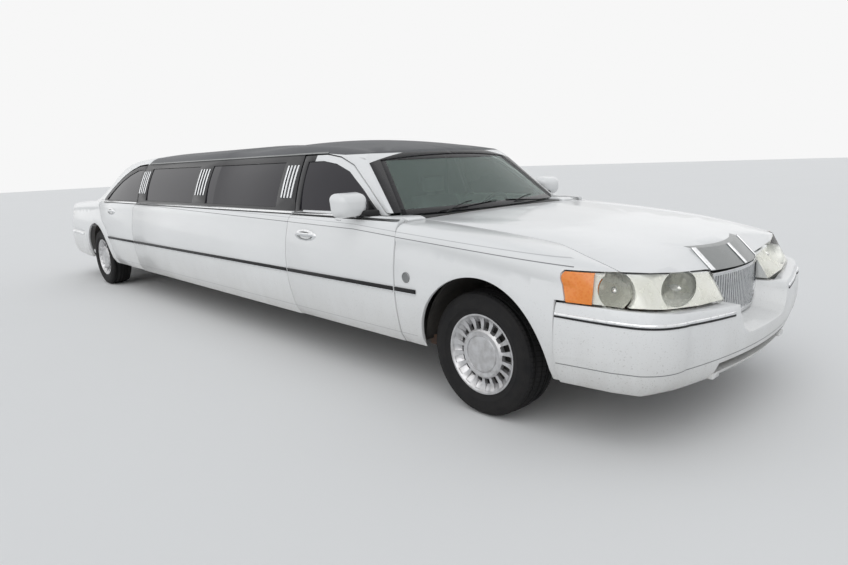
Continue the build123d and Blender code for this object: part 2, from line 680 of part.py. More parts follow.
for y in (-LID_HINGE_Y, LID_HINGE_Y):
    strap, pocket = lid_hinge(HOOD_HINGE_X, HOOD_HINGE_Z, y, -1, 930, COWL_FRONT - 4)
    hood_straps.append(strap)
    hood = hood - pocket
keep("hood", hood)
header = (nose_outer & nose_lip(0)) - nose_lip(HEADER_DEPTH - FIT)
keep("hood_header", header & block(
    700, 1200, -HEADER_HALF + FIT, HEADER_HALF - FIT, GRILLE_Z1 + 10, 1000))
lamp = ((face_solid - (loft_of(NOSE, body_wire, 60) & raked_nose(60)))
        & lamp_zone_at(0))
housing = block(RADIATOR_X1, 890, 460, 600, 690, 770) & raked_nose(50)
keep("headlamps", *both_sides(lamp.fuse(housing)))

# Front bumper, with its opening for the grille and the ledge under it
BUMPER_LEDGE = 22.0
BUMPER_PLAN = [(495, 971), (756, 936), (868, 900), (943, 837), (984, 693), (NOSE_X, 0)]


def front_bumper_plan(z, inset):
    """Plan of the front bumper's outer face at one height."""
    p = [(BUMPER_PLAN[0][0] - 400, BUMPER_PLAN[0][1] - inset)] + [
        (x - (inset if x > 900 else inset * 0.3), y - inset * (0.9 if y > 800 else 0.2 * (y > 0)))
        for x, y in BUMPER_PLAN]
    return face_on(Plane.XY.offset(z), *p[:4], (p[4], p[5]), (p[6], flip(p[5])), (flip(p[4]),
                   flip(p[3])), flip(p[2]), flip(p[1]), flip(p[0]))


BUMPER_RINGS = [Ring(305, 62), Ring(352, 30), Ring(430, 7), Ring(545, 0), Ring(640, 10),
                Ring(700, 34)]
BUMPER_WALL = 60.0
COLLAR_HALF = 345.0
COLLAR_Z0 = 452.0
top_view = [(1000, 694), (740, 663), (550, 648), (294, 632)]
bumper_view = ([(-1000, 305), (1000, 305)] + top_view + [(-y, z) for y, z in reversed(top_view)])
bumper = bumper_shape(front_bumper_plan, BUMPER_RINGS)
hollow = bumper_shape(front_bumper_plan, BUMPER_RINGS, BUMPER_WALL)
ledge_view = top_view + [(y, z - BUMPER_LEDGE) for y, z in reversed(top_view)]
ledges = []
for sign in (-1, 1):
    ledge = hollow & cross_prism(495, 1200, *[(sign * y, z) for y, z in ledge_view])
    ledges.append(ledge - raked_nose(-6))
    ledges.append(block(HORN_END, NOSE_X - 70, sign * HORN_Y0, sign * HORN_Y1, HORN_Z0 + 10, 334))
collar = hollow & block(GRILLE_X0, 1200, -COLLAR_HALF, COLLAR_HALF, COLLAR_Z0, 634)


def grille_view(grow, drop):
    """Outline of the grille in front view, grown outwards and lowered."""
    h = GRILLE_HALF + grow
    low = GRILLE_Z0 - drop
    return [(-h, GRILLE_Z1), (h, GRILLE_Z1), (h - 6, 640 - drop), ((h - 50, 552 - drop), (h - 130, low)),
            (-h + 130, low), ((-h + 50, 552 - drop), (-h + 6, 640 - drop))]


pocket = Solid(loft([face_on(cross_plane(GRILLE_X0 - 30), *grille_view(0, 0)),
                     face_on(cross_plane(GRILLE_SIDE_X), *grille_view(0, 0))]).wrapped)
pocket = pocket.fuse(Solid(loft([
    face_on(cross_plane(GRILLE_SIDE_X), *grille_view(0, 0)),
    face_on(cross_plane(NOSE_X + 30), *grille_view(52, 46))]).wrapped))
bumper = (bumper - hollow).fuse(*ledges, collar) & cross_prism(495, 1200, *bumper_view)
bumper = bumper - pocket - block(800, 1200, -450, 450, 335, 385)
bumper = bumper - block(0, 1200, -GRILLE_HALF - 2, GRILLE_HALF + 2, 640, 800)
keep("front_bumper", bumper)

# Grille
GRILLE_BARS = 25


def grille_plan(inset):
    """Plan of the grille's front, its middle foremost."""
    return plan_prism(400, 900, 0, (700, -400), (GRILLE_SIDE_X - inset - 34, -400),
                      ((GRILLE_TIP_X - inset, 0), (GRILLE_SIDE_X - inset - 34, 400)), (700, 400))


surround = cross_prism(GRILLE_X0, 1200, *grille_view(-0.5, 0))
opening = cross_prism(GRILLE_X0 - 10, 1200, *[
    ((p[0][0] * 0.94, p[0][1] + 10), (p[1][0] * 0.94, p[1][1] + 18)) if isinstance(p[0], tuple)
    else (p[0] * 0.94, p[1] + (18 if p[1] < 600 else -16 if p[1] > 700 else 0))
    for p in grille_view(-0.5, 0)])
grille = (surround - opening) & grille_plan(0)
pitch = 2 * GRILLE_HALF * 0.94 / (GRILLE_BARS + 1)
bars = []
for i in range(GRILLE_BARS):
    y = pitch * (i + 1) - GRILLE_HALF * 0.94
    bars.append(block(GRILLE_X0 + 2, 1000, y - 3.5, y + 3.5, GRILLE_Z0 + 5, GRILLE_Z1 - 8))
bar_room = cross_prism(GRILLE_X0, 1200, *grille_view(-6, -6)) & grille_plan(5)
grille = grille.fuse(*[bar & bar_room for bar in bars])
keep("grille", grille)


# Floor, firewall, cowl, trunk floor
floor = block(-5560, FIREWALL_X, -SILL_INNER_Y, SILL_INNER_Y, FLOOR_Z, FLOOR_TOP)
floor = floor.fuse(block(SEAT_WALL_X, -5540, -560, 560, TRUNK_FLOOR_Z, TRUNK_FLOOR_Z + 14),
                   block(-5560, -5540, -620, 620, FLOOR_Z, TRUNK_FLOOR_Z + 14))
floor = floor - block(-5540, FIREWALL_X - 20, -TUNNEL_HALF, TUNNEL_HALF, 300, 400)
tunnel = cross_prism(-5541, FIREWALL_X - 1, (-TUNNEL_HALF - 12, FLOOR_Z), (TUNNEL_HALF + 12, FLOOR_Z),
                     (TUNNEL_HALF - 18, TUNNEL_Z), (-TUNNEL_HALF + 18, TUNNEL_Z))
tunnel = tunnel - cross_prism(-5600, FIREWALL_X - 20, (-TUNNEL_HALF, FLOOR_Z - 1),
                              (TUNNEL_HALF, FLOOR_Z - 1), (TUNNEL_HALF - 30, TUNNEL_Z - 14),
                              (-TUNNEL_HALF + 30, TUNNEL_Z - 14))
firewall = block(FIREWALL_X - 20, FIREWALL_X, -SILL_INNER_Y, SILL_INNER_Y, FLOOR_Z, 940)
cowl = (nose_shell & block(-790, COWL_FRONT, -768, 768, 900, 1100) & screen_front(-60))
cowl = cowl.fuse(block(-600, FIREWALL_X, -SILL_INNER_Y, SILL_INNER_Y, 920, 940),
                 block(COWL_FRONT - 20, COWL_FRONT, -SILL_INNER_Y, SILL_INNER_Y, 925, 985), *hood_straps)
APRON_BOTTOM = ARCH_Z + ARCH_RADIUS + LINER_GAP + LINER_WALL
aprons = [block(FIREWALL_X - 1, RADIATOR_X0, sign * APRON_Y0, sign * APRON_Y1, APRON_BOTTOM,
                APRON_TOP) for sign in (-1, 1)]
whole = floor.fuse(tunnel, firewall, cowl, *aprons)
whole = whole - block(-5600, FIREWALL_X + 20, -111, 111, 300, 473)
for sign in (-1, 1):
    whole = whole - block(FIREWALL_X - 42, FIREWALL_X + 20, sign * 398, sign * 472, 300, 422)
keep("floor_and_firewall", whole)
trunk_floor = block(-7330, SEAT_WALL_X, -560, 560, TRUNK_FLOOR_Z, TRUNK_FLOOR_Z + 14)
keep("trunk_floor", trunk_floor.fuse(
    block(SEAT_WALL_X - 14, SEAT_WALL_X, -560, 560, TRUNK_FLOOR_Z, 968),
    block(SEAT_WALL_X - 14, SEAT_WALL_X, -840, 840, 800, 968)))

# Sills and door posts inside the outer panels
POSTS = [(-640, -490), (-1790, -1640), (-4840, -4690)]
SILL_TOP = 420.0
posts = block(-5560, -490, SILL_INNER_Y, POST_OUTER_Y, 300, SILL_TOP)
for x0, x1 in POSTS:
    posts = posts.fuse(block(x0, x1, POST_INNER_Y - 30, POST_OUTER_Y, 300, 935))
posts = posts.fuse(*front_leaves, *rear_leaves)
keep("door_posts", *both_sides(posts))

# Frame: side rails, front horns and rear rails on cross-members
half = block(-5540, -460, RAIL_Y0, RAIL_Y1, RAIL_BOTTOM, FLOOR_Z)
half = half.fuse(block(-560, -460, HORN_Y0, RAIL_Y1, RAIL_BOTTOM, FLOOR_Z),
                 block(-560, -460, HORN_Y0, HORN_Y1, RAIL_BOTTOM, FLOOR_Z),
                 block(-470, HORN_END, HORN_Y0, HORN_Y1, HORN_Z0, HORN_Z1),
                 block(-5620, -5480, REAR_RAIL_Y0, RAIL_Y1, RAIL_BOTTOM, FLOOR_Z),
                 block(-5620, -5561, REAR_RAIL_Y0, REAR_RAIL_Y1, RAIL_BOTTOM, REAR_RAIL_Z1),
                 block(-7250, -5561, REAR_RAIL_Y0, REAR_RAIL_Y1, REAR_RAIL_Z0, REAR_RAIL_Z1))
half = half.fuse(block(-470, -450, HORN_Y0, HORN_Y1, RAIL_BOTTOM, HORN_Z1))
left, right = both_sides(half)
cross = [block(x - 40, x + 40, -RAIL_Y0 - 5, RAIL_Y0 + 5, CROSS_Z0, FLOOR_Z) for x in CROSSES]
cross += [block(-560, -500, -HORN_Y0 - 5, HORN_Y0 + 5, CROSS_Z0, FLOOR_Z),
          block(HORN_END - 60, HORN_END, -HORN_Y1, HORN_Y1, HORN_Z0, HORN_Z1),
          block(-6380, -6320, -REAR_RAIL_Y0 - 5, REAR_RAIL_Y0 + 5, 440, REAR_RAIL_Z1),
          block(-7250, -7190, -REAR_RAIL_Y1, REAR_RAIL_Y1, REAR_RAIL_Z0, REAR_RAIL_Z1)]
keep("frame_rails", left.fuse(right, *cross))

# Engine and gearbox as one plain block, radiator support, fuel tank, exhaust
engine = block(-400, 260, -270, 270, 330, 850).fuse(block(-1050, -395, -110, 110, 350, 470))
keep("engine_block", engine)
radiator = block(RADIATOR_X0, RADIATOR_X1, -RADIATOR_HALF, RADIATOR_HALF, HORN_Z1,
                 RADIATOR_TOP)
keep("radiator", radiator)
keep("fuel_tank", fillet(block(-6980, -6420, -440, 440, 285, TRUNK_FLOOR_Z).edges().filter_by(
    Axis.X), 40))
EXHAUST_Y = -330.0
pipe_z = CROSS_Z0 - 26
exhaust = tube_x(26, -7380, -900, EXHAUST_Y, pipe_z).fuse(
    Pos(-4450, EXHAUST_Y, CROSS_Z0 - 55) * Box(640, 230, 110))
keep("exhaust", exhaust)

# Front suspension: cross-member, towers and arms; rear axle with its shaft
ARM_LOW_Z = 232.0
ARM_HIGH_Z = 478.0
ARM_THICK = 11.0
member = block(-130, 130, -HORN_Y1, HORN_Y1, 205, HORN_Z0)
parts = []
for z, half_x in ((ARM_LOW_Z, 125), (ARM_HIGH_Z, 90)):
    arm = plan_prism(z - ARM_THICK, z + ARM_THICK, 0, (-half_x, 430), (half_x, 430),
                     (30, 650), (26, KINGPIN_Y), ((0, KINGPIN_Y + 26), (-26, KINGPIN_Y)),
                     (-30, 650))
    parts.append(arm)
tower = block(-95, 95, HORN_Y0, HORN_Y1, HORN_Z1, 560)
spring = Pos(0, 545, 331) * Cylinder(38, 184)
spring_seat = block(-95, 95, HORN_Y1, 590, 418, 430)
side = tower.fuse(spring_seat, spring, *parts)
keep("front_suspension", member.fuse(*both_sides(side)))
AXLE_Z = TYRE_RADIUS
axle = tube_y(40, REAR_AXLE, AXLE_Z, -700, 700)
axle = axle.fuse(Pos(REAR_AXLE, 0, AXLE_Z) * Sphere(135))
for sign in (-1, 1):
    axle = axle.fuse(
        tube_y(30, REAR_AXLE, AXLE_Z, sign * 690, sign * 905),
        tube_y(135, REAR_AXLE, AXLE_Z, sign * 690, sign * 712),
        Pos(REAR_AXLE, sign * 532, 385) * Cylinder(32, 30),
        block(-6050, -5600, sign * 470, sign * 440, 305, 345))
shaft = tube_x(34, -5980, -1050 - FIT, 0, 405)
keep("rear_axle", axle)
keep("driveshaft", shaft - Pos(REAR_AXLE, 0, AXLE_Z) * Sphere(135 + FIT))

# Wheels
tyre_profile = [(204, -84), (224, -88), ((276, -TYRE_WIDTH / 2), (318, -100)),
                ((328, -95), (TYRE_RADIUS, -84)), (TYRE_RADIUS, 84), ((328, 95), (318, 100)),
                ((276, TYRE_WIDTH / 2), (224, 88)), (204, 84)]


def turned(profile):
    """Solid turned about the Y axis from a profile in radius and Y."""
    face = face_on(Plane.XY, *profile)
    return revolve(face, Axis.Y, 360)


tyre_ring = turned(tyre_profile)
SLOTS = 20
rim_profile = [(190, -96), (RIM_RADIUS, -96), (RIM_RADIUS, -89), (BEAD_RADIUS, -84),
               (BEAD_RADIUS, 84), (RIM_RADIUS, 89), (RIM_RADIUS, 96), (206, 98), (190, 84),
               (172, 76), (112, 82), (72, 70), (66, 82), (30.5, 84), (30.5, 44), (66, 50),
               (112, 68), (178, 62), (190, 60)]
rim_ring = turned(rim_profile)
slot = Pos(0, 75, 0) * Box(13, 60, 34)
for i in range(SLOTS):
    angle = 360.0 / SLOTS * i
    rim_ring = rim_ring - Rot(0, angle, 0) * Pos(0, 0, 146) * slot
cap = Pos(0, 85, 0) * Rot(90, 0, 0) * Cylinder(34, 10)
rim_ring = rim_ring.fuse(cap)
for axle_name, x, track in (("front", 0, FRONT_TRACK), ("rear", REAR_AXLE, REAR_TRACK)):
    for shape, name in ((tyre_ring, "tyre"), (rim_ring, "rim")):
        placed = Pos(x, track / 2, TYRE_RADIUS) * shape
        left, right = both_sides(placed)
        keep(name + "_" + axle_name + "_left", left)
        keep(name + "_" + axle_name + "_right", right)

# Steering knuckles
BALL_GAP = 0.3
upright = block(-30, 30, 708, 750, ARM_LOW_Z + ARM_THICK + BALL_GAP,
                ARM_HIGH_Z - ARM_THICK - BALL_GAP).fuse(
    tube_y(30, 0, TYRE_RADIUS, 740, FRONT_TRACK / 2 + 78),
    tube_y(70, 0, TYRE_RADIUS, 720, 755), block(20, 105, 725, 745, 300, 364))
left, right = both_sides(upright)
keep("knuckle_left", left)
keep("knuckle_right", right)

# Wheel arch liners
LINER_Y0 = 505.0
LINER_Y1 = 904.0
liners = []
for x, inner_y in ((FRONT_ARCH_X, LINER_Y0), (REAR_AXLE, 585.0)):
    outer_radius = ARCH_RADIUS + LINER_GAP + LINER_WALL
    ring = tube_y(outer_radius, x, ARCH_Z, inner_y, LINER_Y1) - tube_y(
        ARCH_RADIUS + LINER_GAP, x, ARCH_Z, inner_y - 5, 960)
    wall = tube_y(outer_radius, x, ARCH_Z, inner_y - LINER_WALL, inner_y + 1)
    liner = (ring & block(x - 600, x + 600, 0, 1100, ARCH_Z + 20, 1000)).fuse(
        wall & block(x - 600, x + 600, 0, 1100, 570, 1000))
    liners += both_sides(liner)
keep("arch_liners", *liners)

# Cabin furniture
SEAT_FRONT_X = -1040.0
seat_row = []
for y in (-400, 400):
    cushion = fillet(Box(520, 490, 150).edges(), 45)
    back = fillet(Box(130, 520, 560).edges(), 45)
    head = fillet(Box(90, 260, 160).edges(), 35)
    seat = (Pos(-1280, y, 500) * cushion).fuse(
        Pos(-1560, y, 800) * Rot(0, -16, 0) * back, Pos(-1652, y, 1130) * head,
        Pos(-1280, y, 394) * Box(380, 400, 92), Pos(-1636, y, 1040) * Box(24, 160, 90))
    seat_row.append(seat)
keep("front_seats", *seat_row)
BENCH_Z = 508.0
BENCH_HALF = 565.0
bench = fillet(block(-5700, -5190, -BENCH_HALF, BENCH_HALF, BENCH_Z - 2, 650).edges(), 50)
bench_back = fillet(block(-5900, -5690, -BENCH_HALF, BENCH_HALF, BENCH_Z, 1060).edges(), 50)
bench_feet = [block(-5535, -5240, y0, y1, FLOOR_TOP, BENCH_Z)
              for y0, y1 in ((-540, -170), (170, 540))]
side_bench = fillet(block(-4400, -2300, 280, 740, 430, 590).edges(), 50)
side_back = fillet(block(-4400, -2300, 640, 790, 430, 980).edges(), 50)
side_base = block(-4300, -2400, 340, 700, FLOOR_TOP, 440)
keep("lounge_seats", bench.fuse(bench_back, *bench_feet), side_bench.fuse(side_back, side_base))
PARTITION_X = -1840.0
PARTITION_FRONT = PARTITION_X + 25
divider = block(PARTITION_X, PARTITION_FRONT, -759, 759, FLOOR_TOP, 960)
divider = divider - block(PARTITION_X - 5, PARTITION_FRONT + 5, -155, 155, 300, 490 + FIT)
divider = divider.fuse(block(PARTITION_X, PARTITION_FRONT, -759, 759, 951, 1560) & upper_at(24))
keep("partition", divider)
dash = fillet(block(-900, -620, -745, 745, 700, 900).edges().filter_by(Axis.Y), 60)
WHEEL_X = -1000.0
WHEEL_Y = 380.0
WHEEL_Z = 890.0
WHEEL_TILT = 24.0
HUB_HALF = 20.0
column = Cylinder(22, 120, align=(Align.CENTER, Align.CENTER, Align.MAX))
column = Pos(WHEEL_X, WHEEL_Y, WHEEL_Z) * Rot(0, -90 + WHEEL_TILT, 0) * Pos(
    0, 0, -HUB_HALF - 0.3) * column
keep("dashboard", dash.fuse(block(-640, FIREWALL_X - 20, -720, 720, 700, 880), column))
ring = Torus(185, 14)
spokes = Box(16, 350, 14).fuse(Cylinder(55, HUB_HALF * 2))
wheel = Pos(WHEEL_X, WHEEL_Y, WHEEL_Z) * Rot(0, -90 + WHEEL_TILT, 0) * ring.fuse(spokes)
keep("steering_wheel", wheel)

for name, solids in NODES.items():
    b = Compound(solids).bounding_box()
    print(name, len(solids), [round(v) for v in (b.min.X, b.max.X, b.min.Y, b.max.Y, b.min.Z, b.max.Z)])
    moved = [Pos(FRONT_AXLE_X, 0, 0) * s for s in solids]
    shape = moved[0] if len(moved) == 1 else Compound(moved)
    export_step(shape, "parts/" + name + ".step")
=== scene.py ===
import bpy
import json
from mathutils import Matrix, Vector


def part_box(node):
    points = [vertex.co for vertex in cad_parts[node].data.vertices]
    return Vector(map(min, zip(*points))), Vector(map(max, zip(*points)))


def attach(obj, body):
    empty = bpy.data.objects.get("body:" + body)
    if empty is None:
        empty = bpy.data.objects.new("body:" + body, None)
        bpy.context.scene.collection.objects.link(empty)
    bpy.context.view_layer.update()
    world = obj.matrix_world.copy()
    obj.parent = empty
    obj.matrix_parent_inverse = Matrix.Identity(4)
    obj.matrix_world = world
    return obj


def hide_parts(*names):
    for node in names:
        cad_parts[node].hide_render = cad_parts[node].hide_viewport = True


bl_info = {
    "name": "Stretch limousine dress",
    "version": (1, 0, 0),
    "blender": (4, 5, 0),
    "location": "3D View > Sidebar > Limousine",
    "description": "Paint, trim, lamps, wheels and cabin for a stretch limousine",
    "category": "Object",
}

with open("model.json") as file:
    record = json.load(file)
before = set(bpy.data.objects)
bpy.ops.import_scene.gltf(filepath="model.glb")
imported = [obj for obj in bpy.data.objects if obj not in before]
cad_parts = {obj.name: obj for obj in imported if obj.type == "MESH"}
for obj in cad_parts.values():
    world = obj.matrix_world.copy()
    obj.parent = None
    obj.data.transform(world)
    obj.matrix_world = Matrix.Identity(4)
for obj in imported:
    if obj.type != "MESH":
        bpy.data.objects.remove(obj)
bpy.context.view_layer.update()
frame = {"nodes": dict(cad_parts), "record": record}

import json
import math

import bpy
from mathutils import Matrix, Vector


def centre_of(node):
    """Middle of a node's box."""
    low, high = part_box(node)
    return (low + high) / 2


AXLE = centre_of("tyre_front_left").x
REAR_AXLE = centre_of("tyre_rear_left").x
SIDES = (("left", 1), ("right", -1))


# Shader expressions

FINISHES = {}


class Wire:
    """A socket of a node tree that takes part in Python expressions."""

    def __init__(self, tree, socket):
        self.tree = tree
        self.socket = socket

    def node(self, kind, settings=None, inputs=None, out=0):
        """Adds a node, sets it up, fills its sockets and returns one output."""
        made = self.tree.nodes.new(kind)
        for key, value in (settings or {}).items():
            if key == "stops":
                ramp = made.color_ramp.elements
                while len(ramp) < len(value):
                    ramp.new(0.5)
                for stop, (place, colour) in zip(ramp, value):
                    stop.position = place
                    stop.color = colour
            else:
                setattr(made, key, value)
        for key, value in (inputs or {}).items():
            if isinstance(value, Wire):
                self.tree.links.new(value.socket, made.inputs[key])
            else:
                made.inputs[key].default_value = value
        return Wire(self.tree, made.outputs[out])

    def sum_of(self, operation, *values, clamp=False):
        """A Math node on this wire and other values."""
        return self.node("ShaderNodeMath", {"operation": operation, "use_clamp": clamp},
                         dict(enumerate((self,) + values)))

    def __add__(self, other):
        return self.sum_of("ADD", other)

    def __sub__(self, other):
        return self.sum_of("SUBTRACT", other)

    def __mul__(self, other):
        return self.sum_of("MULTIPLY", other)

    def __truediv__(self, other):
        return self.sum_of("DIVIDE", other)

    def __rsub__(self, other):
        return self.sum_of("MULTIPLY", -1.0) + other

    __radd__ = __add__
    __rmul__ = __mul__

    def size(self):
        return self.sum_of("ABSOLUTE")

    def over(self, limit, soft=0.0):
        """0 below the limit and 1 above it, over a soft width."""
        if not soft:
            return self.sum_of("GREATER_THAN", limit)
        return ((self - (limit - soft / 2)) / soft).sum_of("ADD", 0.0, clamp=True)

    def band(self, low, high, soft=0.0):
        """1 between two limits."""
        return self.over(low, soft) * (1.0 - self.over(high, soft))

    def near(self, middle, half, soft=0.0):
        """1 where this lies within half of the middle."""
        return 1.0 - (self - middle).size().over(half, soft)


class Finish:
    """A material with one Principled shader and the object's own coordinates."""

    def __init__(self, key, name, colour, roughness=0.5, metallic=0.0, **sockets):
        FINISHES[key] = self
        self.material = bpy.data.materials.new(name)
        self.material.use_nodes = True
        self.tree = self.material.node_tree
        self.tree.nodes.clear()
        self.out = self.tree.nodes.new("ShaderNodeOutputMaterial")
        self.shader = self.tree.nodes.new("ShaderNodeBsdfPrincipled")
        self.tree.links.new(self.shader.outputs[0], self.out.inputs[0])
        self.base = colour + (1.0,)
        self.set("Base Color", self.base)
        self.set("Roughness", roughness)
        self.set("Metallic", metallic)
        for key, value in sockets.items():
            self.set(key.replace("_", " "), value)
        start = Wire(self.tree, None)
        self.place = start.node("ShaderNodeTexCoord", out="Object")
        self.x, self.y, self.z = [
            start.node("ShaderNodeSeparateXYZ", None, {0: self.place}, i) for i in range(3)]
        self.add = start.node

    def set(self, key, value):
        if isinstance(value, Wire):
            self.tree.links.new(value.socket, self.shader.inputs[key])
        else:
            self.shader.inputs[key].default_value = value

    def noise(self, scale, detail=3.0, stretch=None, roughness=0.5):
        """Noise, from about 0.3 to 0.7, in the object's metres."""
        place = self.place
        if stretch:
            place = self.add("ShaderNodeMapping", None, {"Vector": place, "Scale": stretch})
        return self.add("ShaderNodeTexNoise", None, {
            "Vector": place, "Scale": scale, "Detail": detail, "Roughness": roughness}, "Fac")

    def cells(self, scale):
        return self.add("ShaderNodeTexVoronoi", None,
                        {"Vector": self.place, "Scale": scale}, "Distance")

    def mix(self, factor, low, high):
        """Blend of two colours."""
        return self.add("ShaderNodeMix", {"data_type": "RGBA"}, {0: factor, 6: low, 7: high}, 2)

    def tint(self, factor, colour):
        """Blends the base colour so far towards another."""
        self.base = self.mix(factor, self.base, colour + (1.0,))
        self.set("Base Color", self.base)

    def vary(self, key, low, high, factor):
        self.set(key, (factor * (high - low) + low))

    def bump(self, height, strength=0.3, distance=0.001):
        self.set("Normal", self.add("ShaderNodeBump", None, {
            "Strength": strength, "Distance": distance, "Height": height}))


# Mesh tools


def only(*objs):
    """Selects these objects and makes the first one active."""
    if bpy.context.mode != "OBJECT":
        bpy.ops.object.mode_set(mode="OBJECT")
    bpy.ops.object.select_all(action="DESELECT")
    for obj in objs:
        obj.select_set(True)
    bpy.context.view_layer.objects.active = objs[0]


def settle(obj):
    """Puts an object's place, turn and size into its mesh."""
    only(obj)
    bpy.ops.object.transform_apply(location=True, rotation=True, scale=True)
    return obj


def modify(obj, kind, **settings):
    """Adds a modifier and applies it."""
    only(obj)
    mod = obj.modifiers.new(kind.title(), kind)
    for key, value in settings.items():
        setattr(mod, key, value)
    bpy.ops.object.modifier_apply(modifier=mod.name)
    return obj


def pick(obj, test, kind="FACE"):
    """Selects in edit mode the faces, edges or corners that pass a test of place and normal."""
    only(obj)
    mesh = obj.data
    bpy.ops.object.mode_set(mode="EDIT")
    bpy.ops.mesh.select_mode(type=kind)
    bpy.ops.mesh.select_all(action="DESELECT")
    bpy.ops.object.mode_set(mode="OBJECT")
    if kind == "FACE":
        for face in mesh.polygons:
            face.select = bool(test(face.center, face.normal))
    elif kind == "EDGE":
        for edge in mesh.edges:
            a, b = (mesh.vertices[i].co for i in edge.vertices)
            edge.select = bool(test((a + b) / 2, (b - a).normalized()))
    else:
        for corner in mesh.vertices:
            corner.select = bool(test(corner.co, corner.normal))
    bpy.ops.object.mode_set(mode="EDIT")


def done():
    bpy.ops.object.mode_set(mode="OBJECT")


def edit_all(obj):
    """Goes into edit mode with the whole piece selected."""
    only(obj)
    bpy.ops.object.mode_set(mode="EDIT")
    bpy.ops.mesh.select_all(action="SELECT")


def shift(obj, test, by, kind="VERT"):
    """Moves the part of a piece that passes a test."""
    pick(obj, test, kind)
    bpy.ops.transform.translate(value=by)
    done()


def scale(obj, test, by, about, kind="FACE"):
    """Resizes the part of a piece that passes a test."""
    pick(obj, test, kind)
    bpy.ops.transform.resize(value=by, center_override=about)
    done()


def turn_across(obj, angle, about):
    """Turns a whole piece about a line across the car."""
    edit_all(obj)
    bpy.ops.transform.rotate(value=angle, orient_axis="Y", center_override=about)
    done()


def limit(axis, at, way=1):
    """A plane across an axis: it keeps what lies below it, or above it with way -1."""
    place, normal = [0, 0, 0], [0, 0, 0]
    place[axis], normal[axis] = at, way
    return place, normal


def between(axis, low, high):
    return [limit(axis, high), limit(axis, low, -1)]


def named(name):
    obj = bpy.context.active_object
    obj.name = name
    obj.data.name = name
    return obj


def block(name, low, high, cuts=0):
    """A box between two corners, cut along its length."""
    bpy.ops.object.select_all(action="DESELECT")
    middle = [(a + b) / 2 for a, b in zip(low, high)]
    bpy.ops.mesh.primitive_cube_add(size=1, location=middle)
    obj = named(name)
    obj.scale = [abs(b - a) for a, b in zip(low, high)]
    settle(obj)
    if cuts:
        spans = [abs(b - a) for a, b in zip(low, high)]
        axis = spans.index(max(spans))
        pick(obj, lambda c, d: abs(d[axis]) > 0.9, "EDGE")
        bpy.ops.mesh.subdivide_edgering(number_cuts=cuts)
        done()
    return obj


def rod(name, radius, depth, place, axis="Z", sides=32):
    """A round bar along an axis."""
    bpy.ops.object.select_all(action="DESELECT")
    turn = {"X": (0, math.pi / 2, 0), "Y": (math.pi / 2, 0, 0), "Z": (0, 0, 0)}[axis]
    bpy.ops.mesh.primitive_cylinder_add(vertices=sides, radius=radius, depth=depth,
                                        location=place, rotation=turn)
    return settle(named(name))


def ball(name, radii, place, sides=32, rings=16):
    bpy.ops.object.select_all(action="DESELECT")
    bpy.ops.mesh.primitive_uv_sphere_add(segments=sides, ring_count=rings, radius=1,
                                         location=place)
    obj = named(name)
    obj.scale = radii
    return settle(obj)


def smooth(obj, angle=35):
    only(obj)
    bpy.ops.object.shade_smooth_by_angle(angle=math.radians(angle))
    return obj


def round_edges(obj, width=0.003, segments=2, angle=35):
    modify(obj, "BEVEL", width=width, segments=segments, limit_method="ANGLE",
           angle_limit=math.radians(angle), use_clamp_overlap=True)
    return smooth(obj, angle)


def join(name, *objs):
    only(*objs)
    bpy.ops.object.join()
    return named(name)


def copy_mesh(obj, name):
    """A copy of a piece with its own mesh."""
    only(obj)
    bpy.ops.object.duplicate()
    return named(name)


def twin(obj, name, mirror_y=False, place=None):
    """A copy with its own mesh, mirrored to the other side where asked."""
    made = copy_mesh(obj, name)
    if mirror_y:
        made.scale = (1, -1, 1)
        edit_all(settle(made))
        bpy.ops.mesh.normals_make_consistent(inside=False)
        done()
    if place:
        made.location = place
        settle(made)
    return made


def copy_of(node, name, merge=0.0002):
    """A merged copy of a CAD node."""
    obj = copy_mesh(frame["nodes"][node], name)
    obj.parent = None
    for key in list(obj.keys()):
        del obj[key]
    obj.matrix_world = Matrix.Identity(4)
    edit_all(obj)
    bpy.ops.mesh.remove_doubles(threshold=merge)
    bpy.ops.mesh.dissolve_limited(angle_limit=math.radians(0.6))
    done()
    return obj


def cut_by(obj, *planes):
    """Keeps what lies behind each plane, given as a place and a normal."""
    only(obj)
    bpy.ops.object.mode_set(mode="EDIT")
    for place, normal in planes:
        bpy.ops.mesh.select_all(action="SELECT")
        bpy.ops.mesh.bisect(plane_co=place, plane_no=normal, clear_outer=True)
    done()
    return obj


def slice_of(node, name, keep, planes, thick=0.004, bevel=0.0012, side=1):
    """A strip that follows a panel: a part of its outer skin, thickened."""
    obj = cut_by(copy_of(node, name), *planes)
    pick(obj, lambda c, n: not keep(c, n))
    bpy.ops.mesh.delete(type="FACE")
    done()
    if not obj.data.polygons:
        raise RuntimeError(name + " found no skin on " + node)
    modify(obj, "SOLIDIFY", thickness=thick, offset=side, use_even_offset=True)
    return round_edges(obj, bevel, 2, 50)


def run_through(points, steps=6):
    """Points along a smooth curve through the given ones."""
    ends = [points[0]] + list(points) + [points[-1]]
    out = []
    for a, b, c, d in zip(ends, ends[1:], ends[2:], ends[3:]):
        for i in range(steps):
            t = i / steps
            out.append(tuple(0.5 * (2 * q + (r - p) * t + (2 * p - 5 * q + 4 * r - w) * t * t
                                    + (3 * q - p - 3 * r + w) * t ** 3)
                             for p, q, r, w in zip(a, b, c, d)))
    return out + [tuple(points[-1])]


